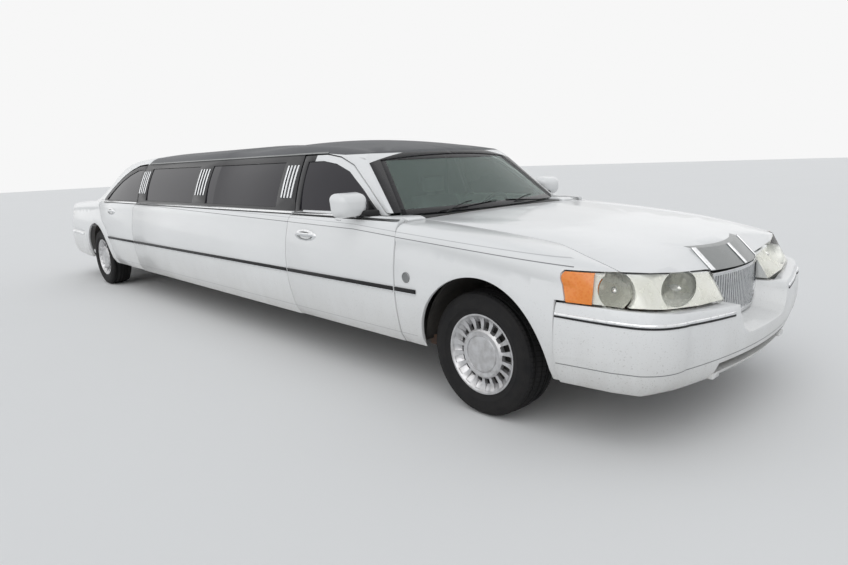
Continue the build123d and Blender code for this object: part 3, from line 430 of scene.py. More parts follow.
def draw_line(name, points):
    """Edges through points, left in edit mode with all of them selected."""
    bpy.ops.object.select_all(action="DESELECT")
    bpy.ops.mesh.primitive_plane_add(size=0.002, location=points[0])
    obj = settle(named(name))
    bpy.ops.object.mode_set(mode="EDIT")
    bpy.ops.mesh.select_mode(type="VERT")
    bpy.ops.mesh.select_all(action="SELECT")
    bpy.ops.mesh.merge(type="CENTER")
    for a, b in zip(points, points[1:]):
        bpy.ops.mesh.extrude_vertices_move(
            TRANSFORM_OT_translate={"value": tuple(q - p for p, q in zip(a, b))})
    bpy.ops.mesh.select_all(action="SELECT")
    return obj


def ribbon(name, points, step, target=None, thick=0.006, lift=0.0):
    """A band along points, widened by a step and laid on a panel."""
    obj = draw_line(name, points)
    bpy.ops.mesh.extrude_region_move(TRANSFORM_OT_translate={"value": step})
    done()
    if target:
        modify(obj, "SHRINKWRAP", target=target, wrap_method="NEAREST_SURFACEPOINT",
               wrap_mode="OUTSIDE_SURFACE", offset=lift)
    modify(obj, "SOLIDIFY", thickness=thick, offset=0)
    return round_edges(obj, thick * 0.3, 2, 50)


def lathe(name, points, centre, steps=48):
    """Turns a line of (along, radius) points about an axle that lies across the car."""
    obj = draw_line(name, [(centre[0] + r, centre[1] + a, centre[2]) for a, r in points])
    bpy.ops.mesh.spin(steps=steps, angle=2 * math.pi, center=centre, axis=(0, 1, 0))
    bpy.ops.mesh.select_all(action="SELECT")
    bpy.ops.mesh.remove_doubles(threshold=0.0002)
    bpy.ops.mesh.normals_make_consistent(inside=False)
    done()
    return smooth(obj, 30)


def carve(obj, cutter):
    """Cuts one piece out of another; the cut faces take the cutter's finish."""
    only(obj)
    mod = obj.modifiers.new("Cut", "BOOLEAN")
    mod.operation = "DIFFERENCE"
    mod.object = cutter
    mod.solver = "EXACT"
    mod.material_mode = "TRANSFER"
    bpy.ops.object.modifier_apply(modifier=mod.name)
    only(cutter)
    bpy.ops.object.delete()
    return obj


def wear(obj, finish, body):
    """Gives a piece its finish and the body that carries it."""
    obj.data.materials.clear()
    obj.data.materials.append(FINISHES[finish].material)
    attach(obj, body)
    return obj


STAND_INS = []


def stand_in(obj, node):
    """Notes that a piece is shown instead of a CAD node."""
    STAND_INS.append((obj, node))


def body_of(node):
    for body, members in frame["record"]["behaviour"]["bodies"].items():
        if node in members:
            return body
    raise RuntimeError("no body carries " + node)


def ride_along(obj, finish, node):
    """Gives a piece its finish and the body of a CAD node."""
    return wear(obj, finish, body_of(node))


def dressed(node, name, finish, edge=None):
    """A merged copy of a CAD node, with soft edges, shown instead of it."""
    obj = copy_of(node, name)
    if edge:
        round_edges(obj, *edge)
    stand_in(obj, node)
    return ride_along(obj, finish, node)


def strip_of(node, name, finish, keep, planes, *sizes):
    """A slice of a CAD node's skin with its finish."""
    return ride_along(slice_of(node, name, keep, planes, *sizes), finish, node)


# Finishes


def stripe_height(x):
    """Height of the painted pinstripe along the side."""
    run = x - AXLE
    bend = (run + 0.95).sum_of("MAXIMUM", 0.0)
    return 0.951 - (run + 1.65) * 0.0162 - bend * 0.0455


def make_paint(name, colour, dirt, stripes=False, black_to=None):
    """White paint, darker in brownish streaks and specks towards the bottom; black above the belt
    behind a station where asked.
    """
    paint = Finish(name, name, colour, 0.32, Coat_Weight=0.55, Coat_Roughness=0.08,
                   Specular_IOR_Level=0.5)
    cloud = paint.noise(1.7, 4.0, (0.5, 1.0, 1.6))
    paint.tint(cloud.band(0.42, 0.75, 0.3) * 0.35, (0.66, 0.665, 0.66))
    # Darker brownish streaks towards the bottom of the body, then small dark specks low down
    streak = paint.noise(9.0, 5.0, (1.0, 1.0, 0.18), 0.6)
    low = 1.0 - paint.z.over(0.46, 0.34)
    paint.tint(low * streak * 0.55 * dirt, (0.44, 0.42, 0.38))
    speck = paint.noise(160.0, 2.0)
    paint.tint(speck.over(0.66, 0.04) * (1.0 - paint.z.over(0.6, 0.5)) * 0.35 * dirt,
               (0.3, 0.28, 0.25))
    if stripes:
        side = paint.y.size().over(0.86)
        length = paint.x.band(AXLE - 7.0, AXLE + 0.56)
        height = stripe_height(paint.x)
        lower = (paint.z - height).near(0.0, 0.0021, 0.0012)
        upper = (paint.z - height).near(0.0285, 0.0017, 0.0012)
        paint.tint(lower * side * length, (0.16, 0.16, 0.17))
        paint.tint(upper * side * length * 0.6, (0.3, 0.3, 0.31))
        sill = (paint.z - 0.365).near(0.0, 0.0016, 0.0014)
        paint.tint(sill * side * paint.x.band(REAR_AXLE + 0.45, AXLE - 0.42) * 0.55,
                   (0.25, 0.25, 0.25))
    if black_to is not None:
        upper = paint.z.over(1.0185, 0.001) * (1.0 - paint.x.over(black_to, 0.002))
        paint.tint(upper, (0.008, 0.008, 0.01))
        paint.vary("Coat Weight", 0.55, 0.0, upper)
    paint.vary("Roughness", 0.24, 0.46, cloud + low * 0.3)
    paint.bump(paint.noise(420.0, 2.0), 0.04, 0.0003)


# Finishes with one noise. Columns: material name, colour, roughness, metallic, noise (scale,
# detail, stretch, roughness), stain where the noise is high (limit, soft width, strength,
# colour), roughness at low and high noise, bump (noise or None for the same one, strength,
# distance), other sockets of the shader.
SIMPLE_FINISHES = {
    "black_pillar": ("black_pillar", (0.01, 0.01, 0.012), 0.22, 0.0, (40.0, 3.0),
                     (0.5, 0.3, 0.5, (0.02, 0.02, 0.022)), (0.16, 0.34), None,
                     {"Specular_IOR_Level": 0.3}),
    # Windscreen: greenish glass that lets most light through; its pale base colour is a painted
    # reflection of the sky
    "clear_glass": ("clear_glass", (0.56, 0.66, 0.62), 0.02, 0.0, (5.0, 4.0), None,
                    (0.0, 0.06), None, {"Transmission_Weight": 0.88, "IOR": 1.14}),
    "chrome": ("chrome", (0.78, 0.79, 0.8), 0.08, 1.0, (60.0, 3.0),
               (0.58, 0.1, 0.3, (0.42, 0.42, 0.43)), (0.05, 0.16)),
    "bright": ("bright_trim", (0.82, 0.83, 0.84), 0.22, 0.65, (35.0, 3.0),
               (0.5, 0.3, 0.25, (0.62, 0.63, 0.64)), (0.16, 0.3)),
    "alloy": ("wheel_alloy", (0.62, 0.62, 0.63), 0.32, 0.75, (30.0, 5.0),
              (0.5, 0.3, 0.45, (0.3, 0.29, 0.28)), (0.24, 0.48), ((500.0,), 0.05, 0.0003)),
    "wheel_shade": ("wheel_shade", (0.05, 0.05, 0.05), 0.6, 0.2, (25.0, 4.0),
                    (0.5, 0.3, 0.6, (0.11, 0.1, 0.09)), (0.5, 0.8)),
    "underbody": ("underbody_coat", (0.024, 0.023, 0.022), 0.8, 0.0, (6.0, 6.0),
                  (0.5, 0.3, 0.6, (0.085, 0.075, 0.062)), (0.65, 0.95),
                  ((70.0, 5.0), 0.5, 0.002)),
    "frame": ("chassis_steel", (0.055, 0.052, 0.05), 0.6, 0.4, (11.0, 6.0, None, 0.65),
              (0.52, 0.2, 0.75, (0.16, 0.075, 0.035)), (0.45, 0.9), (None, 0.3, 0.001)),
    "engine": ("engine_casting", (0.2, 0.2, 0.2), 0.5, 0.6, (9.0, 5.0),
               (0.5, 0.3, 0.7, (0.05, 0.045, 0.04)), (0.35, 0.75),
               ((90.0, 4.0), 0.4, 0.0015)),
    "exhaust": ("exhaust_steel", (0.3, 0.27, 0.24), 0.45, 0.8, (7.0, 5.0),
                (0.5, 0.3, 0.7, (0.17, 0.1, 0.06)), (0.3, 0.75)),
    "tank": ("tank_shell", (0.035, 0.035, 0.037), 0.55, 0.0, (13.0, 5.0),
             (0.55, 0.2, 0.5, (0.1, 0.095, 0.085)), (0.45, 0.8)),
    "trim": ("cabin_trim", (0.085, 0.087, 0.092), 0.7, 0.0, (300.0, 3.0),
             (0.5, 0.2, 0.5, (0.13, 0.13, 0.14)), (0.6, 0.85), (None, 0.4, 0.0008)),
    "lens": ("clear_lens", (0.95, 0.95, 0.92), 0.03, 0.0, (4.0, 3.0), None, (0.0, 0.1), None,
             {"Transmission_Weight": 1.0, "IOR": 1.1}),
    "bezel": ("lamp_bezel", (0.76, 0.77, 0.76), 0.2, 0.25, (18.0, 3.0),
              (0.5, 0.4, 0.35, (0.68, 0.68, 0.61)), (0.18, 0.35)),
    "mirror_glass": ("mirror_glass", (0.62, 0.65, 0.66), 0.03, 1.0, (12.0, 3.0), None,
                     (0.01, 0.08)),
}


def make_simple_finish(key, name, colour, roughness, metallic, noise, stain, sheen, bump=None,
                       sockets=None):
    """A finish from one row of the table."""
    finish = Finish(key, name, colour, roughness, metallic, **(sockets or {}))
    pattern = finish.noise(*noise)
    if stain:
        limit, soft, strength, shade = stain
        finish.tint(pattern.over(limit, soft) * strength, shade)
    finish.vary("Roughness", *sheen, pattern)
    if bump:
        grain, strength, distance = bump
        finish.bump(finish.noise(*grain) if grain else pattern, strength, distance)


def make_coverings(table):
    """Roof vinyl, tinted glass, plastic and seat leather."""
    vinyl = Finish("vinyl", "vinyl_roof", tuple(table.vinyl), 0.55,
                                       Specular_IOR_Level=0.4)
    grain = vinyl.cells(330.0)
    vinyl.tint(grain.over(0.35, 0.3) * 0.5, (0.085, 0.088, 0.095))
    fade = vinyl.noise(2.2, 4.0)
    vinyl.tint(fade.band(0.45, 0.8, 0.3) * 0.4, (0.13, 0.135, 0.14))
    vinyl.vary("Roughness", 0.42, 0.68, fade)
    vinyl.bump(grain + vinyl.noise(900.0) * 0.3, 0.35, 0.0006)

    glass = Finish("dark_glass", "dark_glass", tuple(table.glass), 0.04,
                                            Specular_IOR_Level=0.32)
    haze = glass.noise(3.0, 3.0)
    glass.tint(haze.over(0.5, 0.5) * 0.4, (0.02, 0.018, 0.026))
    glass.vary("Roughness", 0.02, 0.09, haze)

    plastic = Finish("black_plastic", "black_plastic", (0.012, 0.012, 0.013), 0.45,
                                                 Specular_IOR_Level=0.22)
    grit = plastic.noise(240.0, 3.0)
    plastic.tint(plastic.noise(8.0).over(0.5, 0.4) * 0.5, (0.026, 0.026, 0.026))
    plastic.vary("Roughness", 0.35, 0.6, grit)
    plastic.bump(grit, 0.25, 0.0004)

    hide = Finish("leather", "seat_leather", (0.2, 0.205, 0.215), 0.5,
                                        Specular_IOR_Level=0.45)
    hide.tint(hide.noise(5.0, 4.0).over(0.5, 0.4) * 0.5, (0.12, 0.122, 0.13))
    hide.vary("Roughness", 0.4, 0.62, hide.noise(12.0))
    hide.bump(hide.cells(240.0) + hide.noise(40.0, 4.0) * 0.6, 0.3, 0.0008)


def make_tyre_rubber():
    """Rubber with sipes across the tread, painted darker as their shade, and rings on the wall,
    for all four tyres.
    """
    tyre = Finish("tyre", "tyre_rubber", (0.011, 0.011, 0.012), 0.72,
                                     Specular_IOR_Level=0.18)
    dust = tyre.noise(14.0, 5.0)
    tyre.tint(dust.over(0.45, 0.35) * 0.4, (0.034, 0.032, 0.03))
    tyre.vary("Roughness", 0.6, 0.85, dust)
    axle = tyre.x.over((AXLE + REAR_AXLE) / 2) * (AXLE - REAR_AXLE) + REAR_AXLE
    along, up = tyre.x - axle, tyre.z - 0.332
    turn = up.sum_of("ARCTAN2", along)
    reach = (along.sum_of("POWER", 2.0) + up.sum_of("POWER", 2.0)).sum_of("SQRT")
    sipes = (turn * 76.0 + tyre.y * 40.0).sum_of("SINE").over(0.72, 0.1) * reach.over(0.322, 0.004)
    rings = (reach * 900.0).sum_of("SINE") * reach.band(0.285, 0.31, 0.004)
    # Painted shade: the tread is darker in the sipes
    tyre.tint(sipes * 0.7, (0.006, 0.006, 0.006))
    tyre.bump(tyre.noise(260.0, 3.0) * 0.2 - sipes * 1.6 + rings * 0.25, 0.6, 0.002)


def make_lamp_finishes():
    """Red and amber lenses, reflector bowls."""
    red = Finish("lamp_red", "red_lens", (0.42, 0.012, 0.012), 0.1,
                                        Coat_Weight=0.6, Coat_Roughness=0.05)
    ribs = red.add("ShaderNodeTexWave", {"bands_direction": "Z"},
                   {"Vector": red.place, "Scale": 34.0}, "Fac")
    red.tint(ribs.over(0.5, 0.4) * 0.5, (0.2, 0.004, 0.006))
    red.vary("Roughness", 0.08, 0.22, red.noise(20.0))
    red.bump(ribs, 0.3, 0.001)

    amber = Finish("amber", "amber_lens", (0.8, 0.2, 0.012), 0.14,
                                       Coat_Weight=0.6, Coat_Roughness=0.05)
    flutes = amber.cells(75.0)
    amber.tint(flutes.over(0.4, 0.4) * 0.4, (0.9, 0.33, 0.05))
    amber.vary("Roughness", 0.1, 0.24, amber.noise(25.0))
    amber.bump(flutes, 0.3, 0.001)

    bowl = Finish("reflector", "lamp_reflector", (0.9, 0.91, 0.89), 0.3, 0.12)
    facet = bowl.cells(48.0)
    bowl.tint(facet.over(0.5, 0.3) * 0.35, (0.72, 0.74, 0.72))
    bowl.vary("Roughness", 0.16, 0.34, facet)
    bowl.bump(facet, 0.5, 0.003)


def make_front_metal():
    """Grille bars with painted shade in their depth, and the grained header panel."""
    bars = Finish("grille", "grille_chrome", (0.66, 0.67, 0.68), 0.12, 1.0)
    # Painted shade: the bars turn almost black more than about 11 mm behind the grille's front
    # curve
    plan = bars.y.sum_of("POWER", 2.0) * -0.503 + (AXLE + 0.942)
    depth = (plan - bars.x).over(0.011, 0.008)
    bars.tint(bars.noise(50.0, 3.0).over(0.55, 0.2) * 0.3, (0.4, 0.4, 0.41))
    bars.tint(depth * 0.96, (0.022, 0.022, 0.024))
    bars.vary("Roughness", 0.12, 0.6, depth)

    header = Finish("header", "header_metal", (0.3, 0.31, 0.31), 0.32, 0.85)
    grain = header.cells(420.0)
    header.tint(grain.over(0.4, 0.3) * 0.5, (0.16, 0.165, 0.165))
    header.vary("Roughness", 0.26, 0.42, header.noise(30.0))
    header.bump(grain, 0.3, 0.0006)


def make_finishes():
    """All the finishes, by name."""
    table = bpy.context.scene.limousine_colours
    white = tuple(table.paint)
    for name, dirt, stripes, black_to in (
            ("paint", 1.0, True, None), ("bumper_paint", 1.4, False, None),
            ("door_paint", 1.0, True, AXLE - 1.6), ("band_paint", 1.0, True, AXLE)):
        make_paint(name, white, dirt, stripes, black_to)
    for key, row in SIMPLE_FINISHES.items():
        make_simple_finish(key, *row)
    make_coverings(table)
    make_tyre_rubber()
    make_lamp_finishes()
    make_front_metal()


def pair(name):
    return [name + "_left", name + "_right"]


NODE_FINISH = {
    "paint": ["front_fenders", "hood", "trunk_lid", "rear_body", "windscreen_frame"],
    "door_paint": pair("door_front"),
    "band_paint": ["stretch_panels"] + pair("door_rear"),
    "bumper_paint": ["front_bumper", "rear_bumper"],
    "vinyl": ["roof"],
    "dark_glass": pair("door_glass_front") + pair("door_glass_rear") + [
        "stretch_windows", "rear_window"],
    "clear_glass": ["windscreen"],
    "chrome": ["grille", "hood_header"],
    "lamp_red": ["tail_lamps"],
    "lens": ["headlamps"],
    "alloy": pair("rim_front") + pair("rim_rear"),
    "tyre": pair("tyre_front") + pair("tyre_rear"),
    "underbody": ["floor_and_firewall", "trunk_floor", "arch_liners", "door_posts"],
    "frame": ["frame_rails", "front_suspension", "rear_axle", "driveshaft"]
             + pair("knuckle") + ["radiator"],
    "engine": ["engine_block"],
    "exhaust": ["exhaust"],
    "tank": ["fuel_tank"],
    "leather": ["front_seats", "lounge_seats"],
    "trim": ["partition", "dashboard"],
    "black_plastic": ["steering_wheel"],
}


# Sizes and colours that a user would change


class LimousineColours(bpy.types.PropertyGroup):
    paint: bpy.props.FloatVectorProperty(
        name="Body paint", description="Colour of the painted panels", subtype="COLOR",
        default=(0.8, 0.805, 0.8), min=0, max=1)
    vinyl: bpy.props.FloatVectorProperty(
        name="Roof vinyl", description="Colour of the roof covering", subtype="COLOR",
        default=(0.055, 0.057, 0.062), min=0, max=1)
    glass: bpy.props.FloatVectorProperty(
        name="Tinted glass", description="Colour of the side windows", subtype="COLOR",
        default=(0.01, 0.009, 0.014), min=0, max=1)


class LimousineSizes(bpy.types.PropertyGroup):
    edge: bpy.props.FloatProperty(
        name="Panel edge", description="Radius of the painted panels' edges",
        default=0.003, min=0.0005, max=0.01, unit="LENGTH")


# The stage


class STAGE_OT_studio(bpy.types.Operator):
    """Floor, light, world and the camera at the photograph's place"""

    bl_idname = "limousine.studio"
    bl_label = "Studio"

    def execute(self, context):
        scene = context.scene
        scene.view_settings.view_transform = "Standard"
        bpy.ops.object.select_all(action="DESELECT")
        bpy.ops.mesh.primitive_plane_add(size=120, location=(0, 0, 0))
        floor = named("studio_floor")
        settle(floor)
        ground = Finish("ground", "studio_ground", (0.8, 0.8, 0.79), 0.85)
        ground.tint(ground.noise(0.4, 3.0).over(0.5, 0.5) * 0.15, (0.74, 0.74, 0.73))
        ground.vary("Roughness", 0.8, 0.9, ground.noise(3.0))
        floor.data.materials.append(ground.material)

        world = bpy.data.worlds.new("studio_sky")
        scene.world = world
        world.use_nodes = True
        tree = world.node_tree
        tree.nodes.clear()
        start = Wire(tree, None)
        path = tree.nodes.new("ShaderNodeLightPath")
        seen = Wire(tree, path.outputs["Is Camera Ray"])
        seen = seen.sum_of("MAXIMUM", Wire(tree, path.outputs["Is Glossy Ray"]))
        seen = seen.sum_of("MAXIMUM", Wire(tree, path.outputs["Is Transmission Ray"]))
        light = start.node("ShaderNodeBackground", None, {
            "Color": (0.9, 0.94, 1.0, 1.0), "Strength": 0.5})
        white = start.node("ShaderNodeBackground", None, {
            "Color": (0.93, 0.93, 0.93, 1.0), "Strength": 1.0})
        both = start.node("ShaderNodeMixShader", None, {0: seen, 1: light, 2: white})
        out = tree.nodes.new("ShaderNodeOutputWorld")
        tree.links.new(both.socket, out.inputs[0])

        for name, place, angle, power in (
                ("key", (5.0, -8.0, 9.0), 70.0, 1.08), ("fill", (-7.0, -6.0, 6.0), 90.0, 0.32),
                ("back", (2.0, 9.0, 6.0), 90.0, 0.35)):
            lamp = bpy.data.lights.new(name, "SUN")
            lamp.energy = power
            lamp.angle = math.radians(angle)
            holder = bpy.data.objects.new(name, lamp)
            scene.collection.objects.link(holder)
            holder.location = place
            holder.rotation_euler = (-Vector(place)).to_track_quat("-Z", "Y").to_euler()

        lens = bpy.data.cameras.new("photo_camera")
        lens.sensor_width = 36
        lens.lens = 26.142
        camera = bpy.data.objects.new("photo_camera", lens)
        scene.collection.objects.link(camera)
        azimuth, pitch, roll = (math.radians(a) for a in (46.9102, 11.2817, -2.4352))
        ahead = Vector((-math.sin(azimuth), math.cos(azimuth), 0))
        right = Vector((math.cos(azimuth), math.sin(azimuth), 0))
        up = Vector((0, 0, 1))
        view = math.cos(pitch) * ahead - math.sin(pitch) * up
        above = math.sin(pitch) * ahead + math.cos(pitch) * up
        across = math.cos(roll) * right + math.sin(roll) * above
        above = -math.sin(roll) * right + math.cos(roll) * above
        turn = Matrix((across, above, -view)).transposed().to_4x4()
        camera.matrix_world = Matrix.Translation((AXLE + 2.03705, -3.18565, 1.3317)) @ turn
        scene.camera = camera
        return {"FINISHED"}


class LIMO_OT_finishes(bpy.types.Operator):
    """Makes every finish and gives the CAD nodes theirs"""

    bl_idname = "limousine.finishes"
    bl_label = "Finishes"

    def execute(self, context):
        make_finishes()
        for finish, nodes in NODE_FINISH.items():
            for node in nodes:
                obj = frame["nodes"][node]
                obj.data.materials.clear()
                obj.data.materials.append(FINISHES[finish].material)
        return {"FINISHED"}


class LIMO_OT_panels(bpy.types.Operator):
    """Body panels with soft edges"""

    bl_idname = "limousine.panels"
    bl_label = "Panels"

    def execute(self, context):
        edge = context.scene.limousine_sizes.edge
        for finish in ("paint", "door_paint", "band_paint", "bumper_paint", "vinyl"):
            for node in NODE_FINISH[finish]:
                panel = copy_of(node, node + "_skin")
                if finish == "door_paint":
                    # the plain mirror of the CAD door makes room for the modelled one
                    pick(panel, lambda c, n: abs(c.y) > 0.9125 and c.z > 0.998
                         or abs(c.y) > 0.905 and c.z > 1.016
                         or abs(c.y) > 0.8635 and c.z > 1.018 and abs(c.x - AXLE + 0.9) < 0.13)
                    bpy.ops.mesh.delete(type="FACE")
                    done()
                ride_along(panel, finish, node)
                if node == "front_bumper":
                    slot = block("slot_cutter", (AXLE + 0.955, -0.43, 0.353),
                                 (AXLE + 1.2, 0.43, 0.371))
                    round_edges(slot, 0.008, 4)
                    slot.data.materials.append(FINISHES["black_plastic"].material)
                    carve(panel, slot)
                round_edges(panel, edge, 2, 40)
                stand_in(panel, node)
        return {"FINISHED"}


def outward(c, n):
    """True for skin that looks away from the car's middle."""
    return n.y * c.y > 0.4 * abs(c.y)


def side_run(node, name, run, heights, finish, thick, slope=0.0):
    """A moulding along the flank of one node, between two stations from the front axle."""
    low, high = heights
    limits = between(0, AXLE + run[0], AXLE + run[1]) + [
        ((AXLE, 0, high), (-slope, 0, 1)), ((AXLE, 0, low), (slope, 0, -1))]
    strip_of(node, node + name, finish, outward, limits, thick)


class LIMO_OT_side_trim(bpy.types.Operator):
    """Body side mouldings, belt strips, roof edge and pillar bars"""

    bl_idname = "limousine.side_trim"
    bl_label = "Side trim"

    def execute(self, context):
        slope = 0.00345
        for nodes, *run in (
                (["front_fenders"], -0.553, -0.385), (pair("door_front"), -1.685, -0.569),
                (["stretch_panels"], -4.742, -1.703), (pair("door_rear"), -5.6, -4.758)):
            for node in nodes:
                side_run(node, "_moulding", run, (0.6185, 0.6405), "black_plastic", 0.009, slope)
                side_run(node, "_moulding_edge", run, (0.6105, 0.6185), "chrome", 0.007, slope)
        for nodes, *run in ((pair("door_front"), -1.68, -0.91),
                            (["stretch_panels"], -4.742, -1.68),
                            (pair("door_rear"), -5.78, -4.758)):
            for node in nodes:
                side_run(node, "_belt", run, (1.0035, 1.0145), "chrome", 0.005)
                side_run(node, "_belt_seal", run, (0.9985, 1.0035), "black_plastic", 0.003)
        strip_of("roof", "roof_edge", "header", lambda c, n: abs(c.y) > 0.6 and n.y * c.y > 0,
                 [limit(2, 1.4065), limit(0, AXLE - 1.5)], 0.005)
        width, bars = 0.017, 4
        for rear, front in ((-1.9, -1.76), (-3.36, -3.18), (-4.74, -4.57)):
            pitch = (front - rear - width) / (bars - 1)
            for index in range(bars):
                x = AXLE + rear + pitch * index
                strip_of("stretch_panels", "pillar_bar", "bright",
                         lambda c, n: outward(c, n) and c.z > 1.1,
                         between(0, x, x + width) + between(2, 1.105, 1.327), 0.007, 0.003)
        return {"FINISHED"}


class LIMO_OT_handles(bpy.types.Operator):
    """Door handles: an oval cup with a bar across it"""

    bl_idname = "limousine.handles"
    bl_label = "Door handles"

    def execute(self, context):
        for door, x, y, z in (("front", -1.465, 0.969, 0.872), ("rear", -5.43, 0.9635, 0.905)):
            for side, sign in SIDES:
                node = "door_" + door + "_" + side
                x0, y0 = AXLE + x, sign * y
                cup = ball(node + "_handle_cup", (0.126, 0.013, 0.04), (x0, y0, z), 40, 16)
                bowl = ball("bowl", (0.104, 0.018, 0.028), (x0, y0 + sign * 0.015, z))
                bowl.data.materials.append(FINISHES["header"].material)
                ride_along(cup, "chrome", node)
                smooth(carve(cup, bowl), 40)
                bar = block(node + "_handle_bar", (x0 - 0.098, y0 + sign * 0.002, z - 0.004),
                            (x0 + 0.098, y0 + sign * 0.016, z + 0.02), 6)
                shift(bar, lambda c, n: abs(c.x - x0) > 0.09, (0, -sign * 0.006, 0))
                round_edges(bar, 0.006, 3)
                ride_along(bar, "chrome", node)
        return {"FINISHED"}


class LIMO_OT_mirrors(bpy.types.Operator):
    """Mirrors: rounded shell, glass, black foot and sail"""

    bl_idname = "limousine.mirrors"
    bl_label = "Mirrors"

    def execute(self, context):
        x, z = AXLE - 0.93, 1.082
        for side, sign in SIDES:
            node = "door_front_" + side
            shell = block("mirror_shell_" + side, (x - 0.066, sign * 0.866, z - 0.078),
                          (x + 0.072, sign * 1.112, z + 0.082))
            scale(shell, lambda c, n: n.x > 0.9, (1, 0.8, 0.74),
                  (x + 0.072, sign * 0.99, z + 0.006))
            scale(shell, lambda c, n: c.z < z and n.z < -0.5, (1, 0.86, 1), (x, sign * 0.985, z))
            round_edges(shell, 0.046, 7, 30)
            glass = copy_mesh(shell, "mirror_glass_" + side)
            cut_by(glass, limit(0, x - 0.0655))
            modify(glass, "SOLIDIFY", thickness=0.002, offset=1)
            ride_along(shell, "paint", node)
            ride_along(glass, "mirror_glass", node)
            foot = block("mirror_foot_" + side, (AXLE - 0.945, sign * 0.862, 1.012),
                         (AXLE - 0.8, sign * 0.945, 1.052), 5)
            scale(foot, lambda c, n: abs(c.y) > 0.93, (0.5, 1, 0.8),
                  (AXLE - 0.92, sign * 0.945, 1.045), "VERT")
            ride_along(round_edges(foot, 0.009, 3), "black_plastic", node)
            sail = block("mirror_sail_" + side, (AXLE - 0.905, sign * 0.85, 1.016),
                         (AXLE - 0.8, sign * 0.868, 1.105))
            shift(sail, lambda c, n: c.z > 1.1 and c.x > AXLE - 0.85, (-0.095, 0, 0))
            ride_along(round_edges(sail, 0.004, 2), "black_plastic", node)
        return {"FINISHED"}


SLOTS = 18
# Half sections as (along the axle, radius): the rim from its face, the tyre's wall and tread
RIM = [(-0.01, 0.0), (-0.01, 0.093), (-0.0135, 0.0955), (-0.0135, 0.0985),
       (-0.0085, 0.101), (-0.0065, 0.121), (-0.01, 0.127), (-0.02, 0.136), (-0.021, 0.172),
       (-0.013, 0.194), (-0.004, 0.203), (0.0, 0.206), (0.0, 0.2135), (-0.006, 0.2172),
       (-0.03, 0.2165), (-0.032, 0.206), (-0.185, 0.202), (-0.19, 0.2165),
       (-0.194, 0.2165), (-0.194, 0.206), (-0.185, 0.194), (-0.055, 0.191),
       (-0.042, 0.172), (-0.042, 0.0)]
WALL = [(0.1, 0.318), (0.1085, 0.3), (0.1095, 0.2975), (0.1128, 0.29), (0.1128, 0.27),
        (0.11, 0.25), (0.111, 0.246), (0.108, 0.24), (0.1, 0.225), (0.096, 0.212)]
GROOVES = (-0.058, -0.02, 0.02, 0.058)


def tyre_outline():
    """Tread with four grooves between the two walls."""
    tread = [(-0.086, 0.3275)]
    for middle in GROOVES:
        crown = 0.332 - 12 * max(abs(middle) - 0.03, 0) ** 2
        tread += [(middle - 0.006, crown), (middle - 0.0045, crown - 0.0075),
                  (middle + 0.0045, crown - 0.0075), (middle + 0.006, crown)]
    tread.append((0.086, 0.3275))
    return [(-a, r) for a, r in reversed(WALL)] + tread + WALL


def slot_ring(hub, face, sign):
    """The ring of wedges that cuts a wheel's slots."""
    wedge = block("slot", (hub.x + 0.131, face - 0.075, hub.z - 0.0105),
                  (hub.x + 0.199, face + 0.075, hub.z + 0.0105))
    deep = face - sign * 0.075
    shift(wedge, lambda c, n: abs(c.y - deep) < 0.01 and c.x > hub.x + 0.19,
          (0, sign * 0.064, 0))
    scale(wedge, lambda c, n: n.x > 0.5, (1, 1, 1.75), hub)
    modify(wedge, "BEVEL", width=0.003, segments=2)
    slots = []
    for index in range(SLOTS):
        slots.append(copy_mesh(wedge, "slot"))
        turn_across(slots[-1], 2 * math.pi * index / SLOTS, hub)
    only(wedge)
    bpy.ops.object.delete()
    return join("slots", *slots)


class LIMO_OT_wheels(bpy.types.Operator):
    """Tyres with grooves and rings, wheel faces, caps and dark discs of painted shade behind the
    slots
    """

    bl_idname = "limousine.wheels"
    bl_label = "Wheels"

    def execute(self, context):
        outline = tyre_outline()
        for axle in ("front", "rear"):
            for side, sign in SIDES:
                place = axle + "_" + side
                body = body_of("tyre_" + place)
                centre = centre_of("tyre_" + place)
                tyre = lathe("tyre_tread_" + place, outline, centre, 72)
                wear(tyre, "tyre", body)
                stand_in(tyre, "tyre_" + place)
                low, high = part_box("rim_" + place)
                face = high.y if sign > 0 else low.y
                hub = Vector((centre.x, face, centre.z))
                rim = lathe("rim_face_" + place, [(sign * a, r) for a, r in RIM], hub, 72)
                slots = slot_ring(hub, face, sign)
                wear(rim, "alloy", body)
                smooth(carve(rim, slots), 30)
                stand_in(rim, "rim_" + place)
                # Painted shade: a dark disc behind the wheel face, seen through the slots as the
                # shadow inside the wheel
                disc = lathe("brake_disc_" + place, [
                    (-sign * 0.082, 0.0005), (-sign * 0.082, 0.165), (-sign * 0.07, 0.168),
                    (-sign * 0.07, 0.0005)], hub, 40)
                wear(disc, "wheel_shade", body)
        return {"FINISHED"}


# Headlamp bowls: place from the axle and the middle, radii, turn outwards, lowest and highest
BOWLS = ((0.722, 0.848, 0.752, (0.07, 0.15, 0.084), 55.0, 0.676, 0.82),
         (0.865, 0.56, 0.728, (0.07, 0.19, 0.08), 14.0, 0.646, 0.792))
CLEAR_FROM = 0.658


def turned_ball(name, radii, place, angle, sides, rings):
    """An egg turned about the upright."""
    obj = ball(name, radii, (0, 0, 0), sides, rings)
    obj.rotation_euler = (0, 0, angle)
    obj.location = place
    return settle(obj)


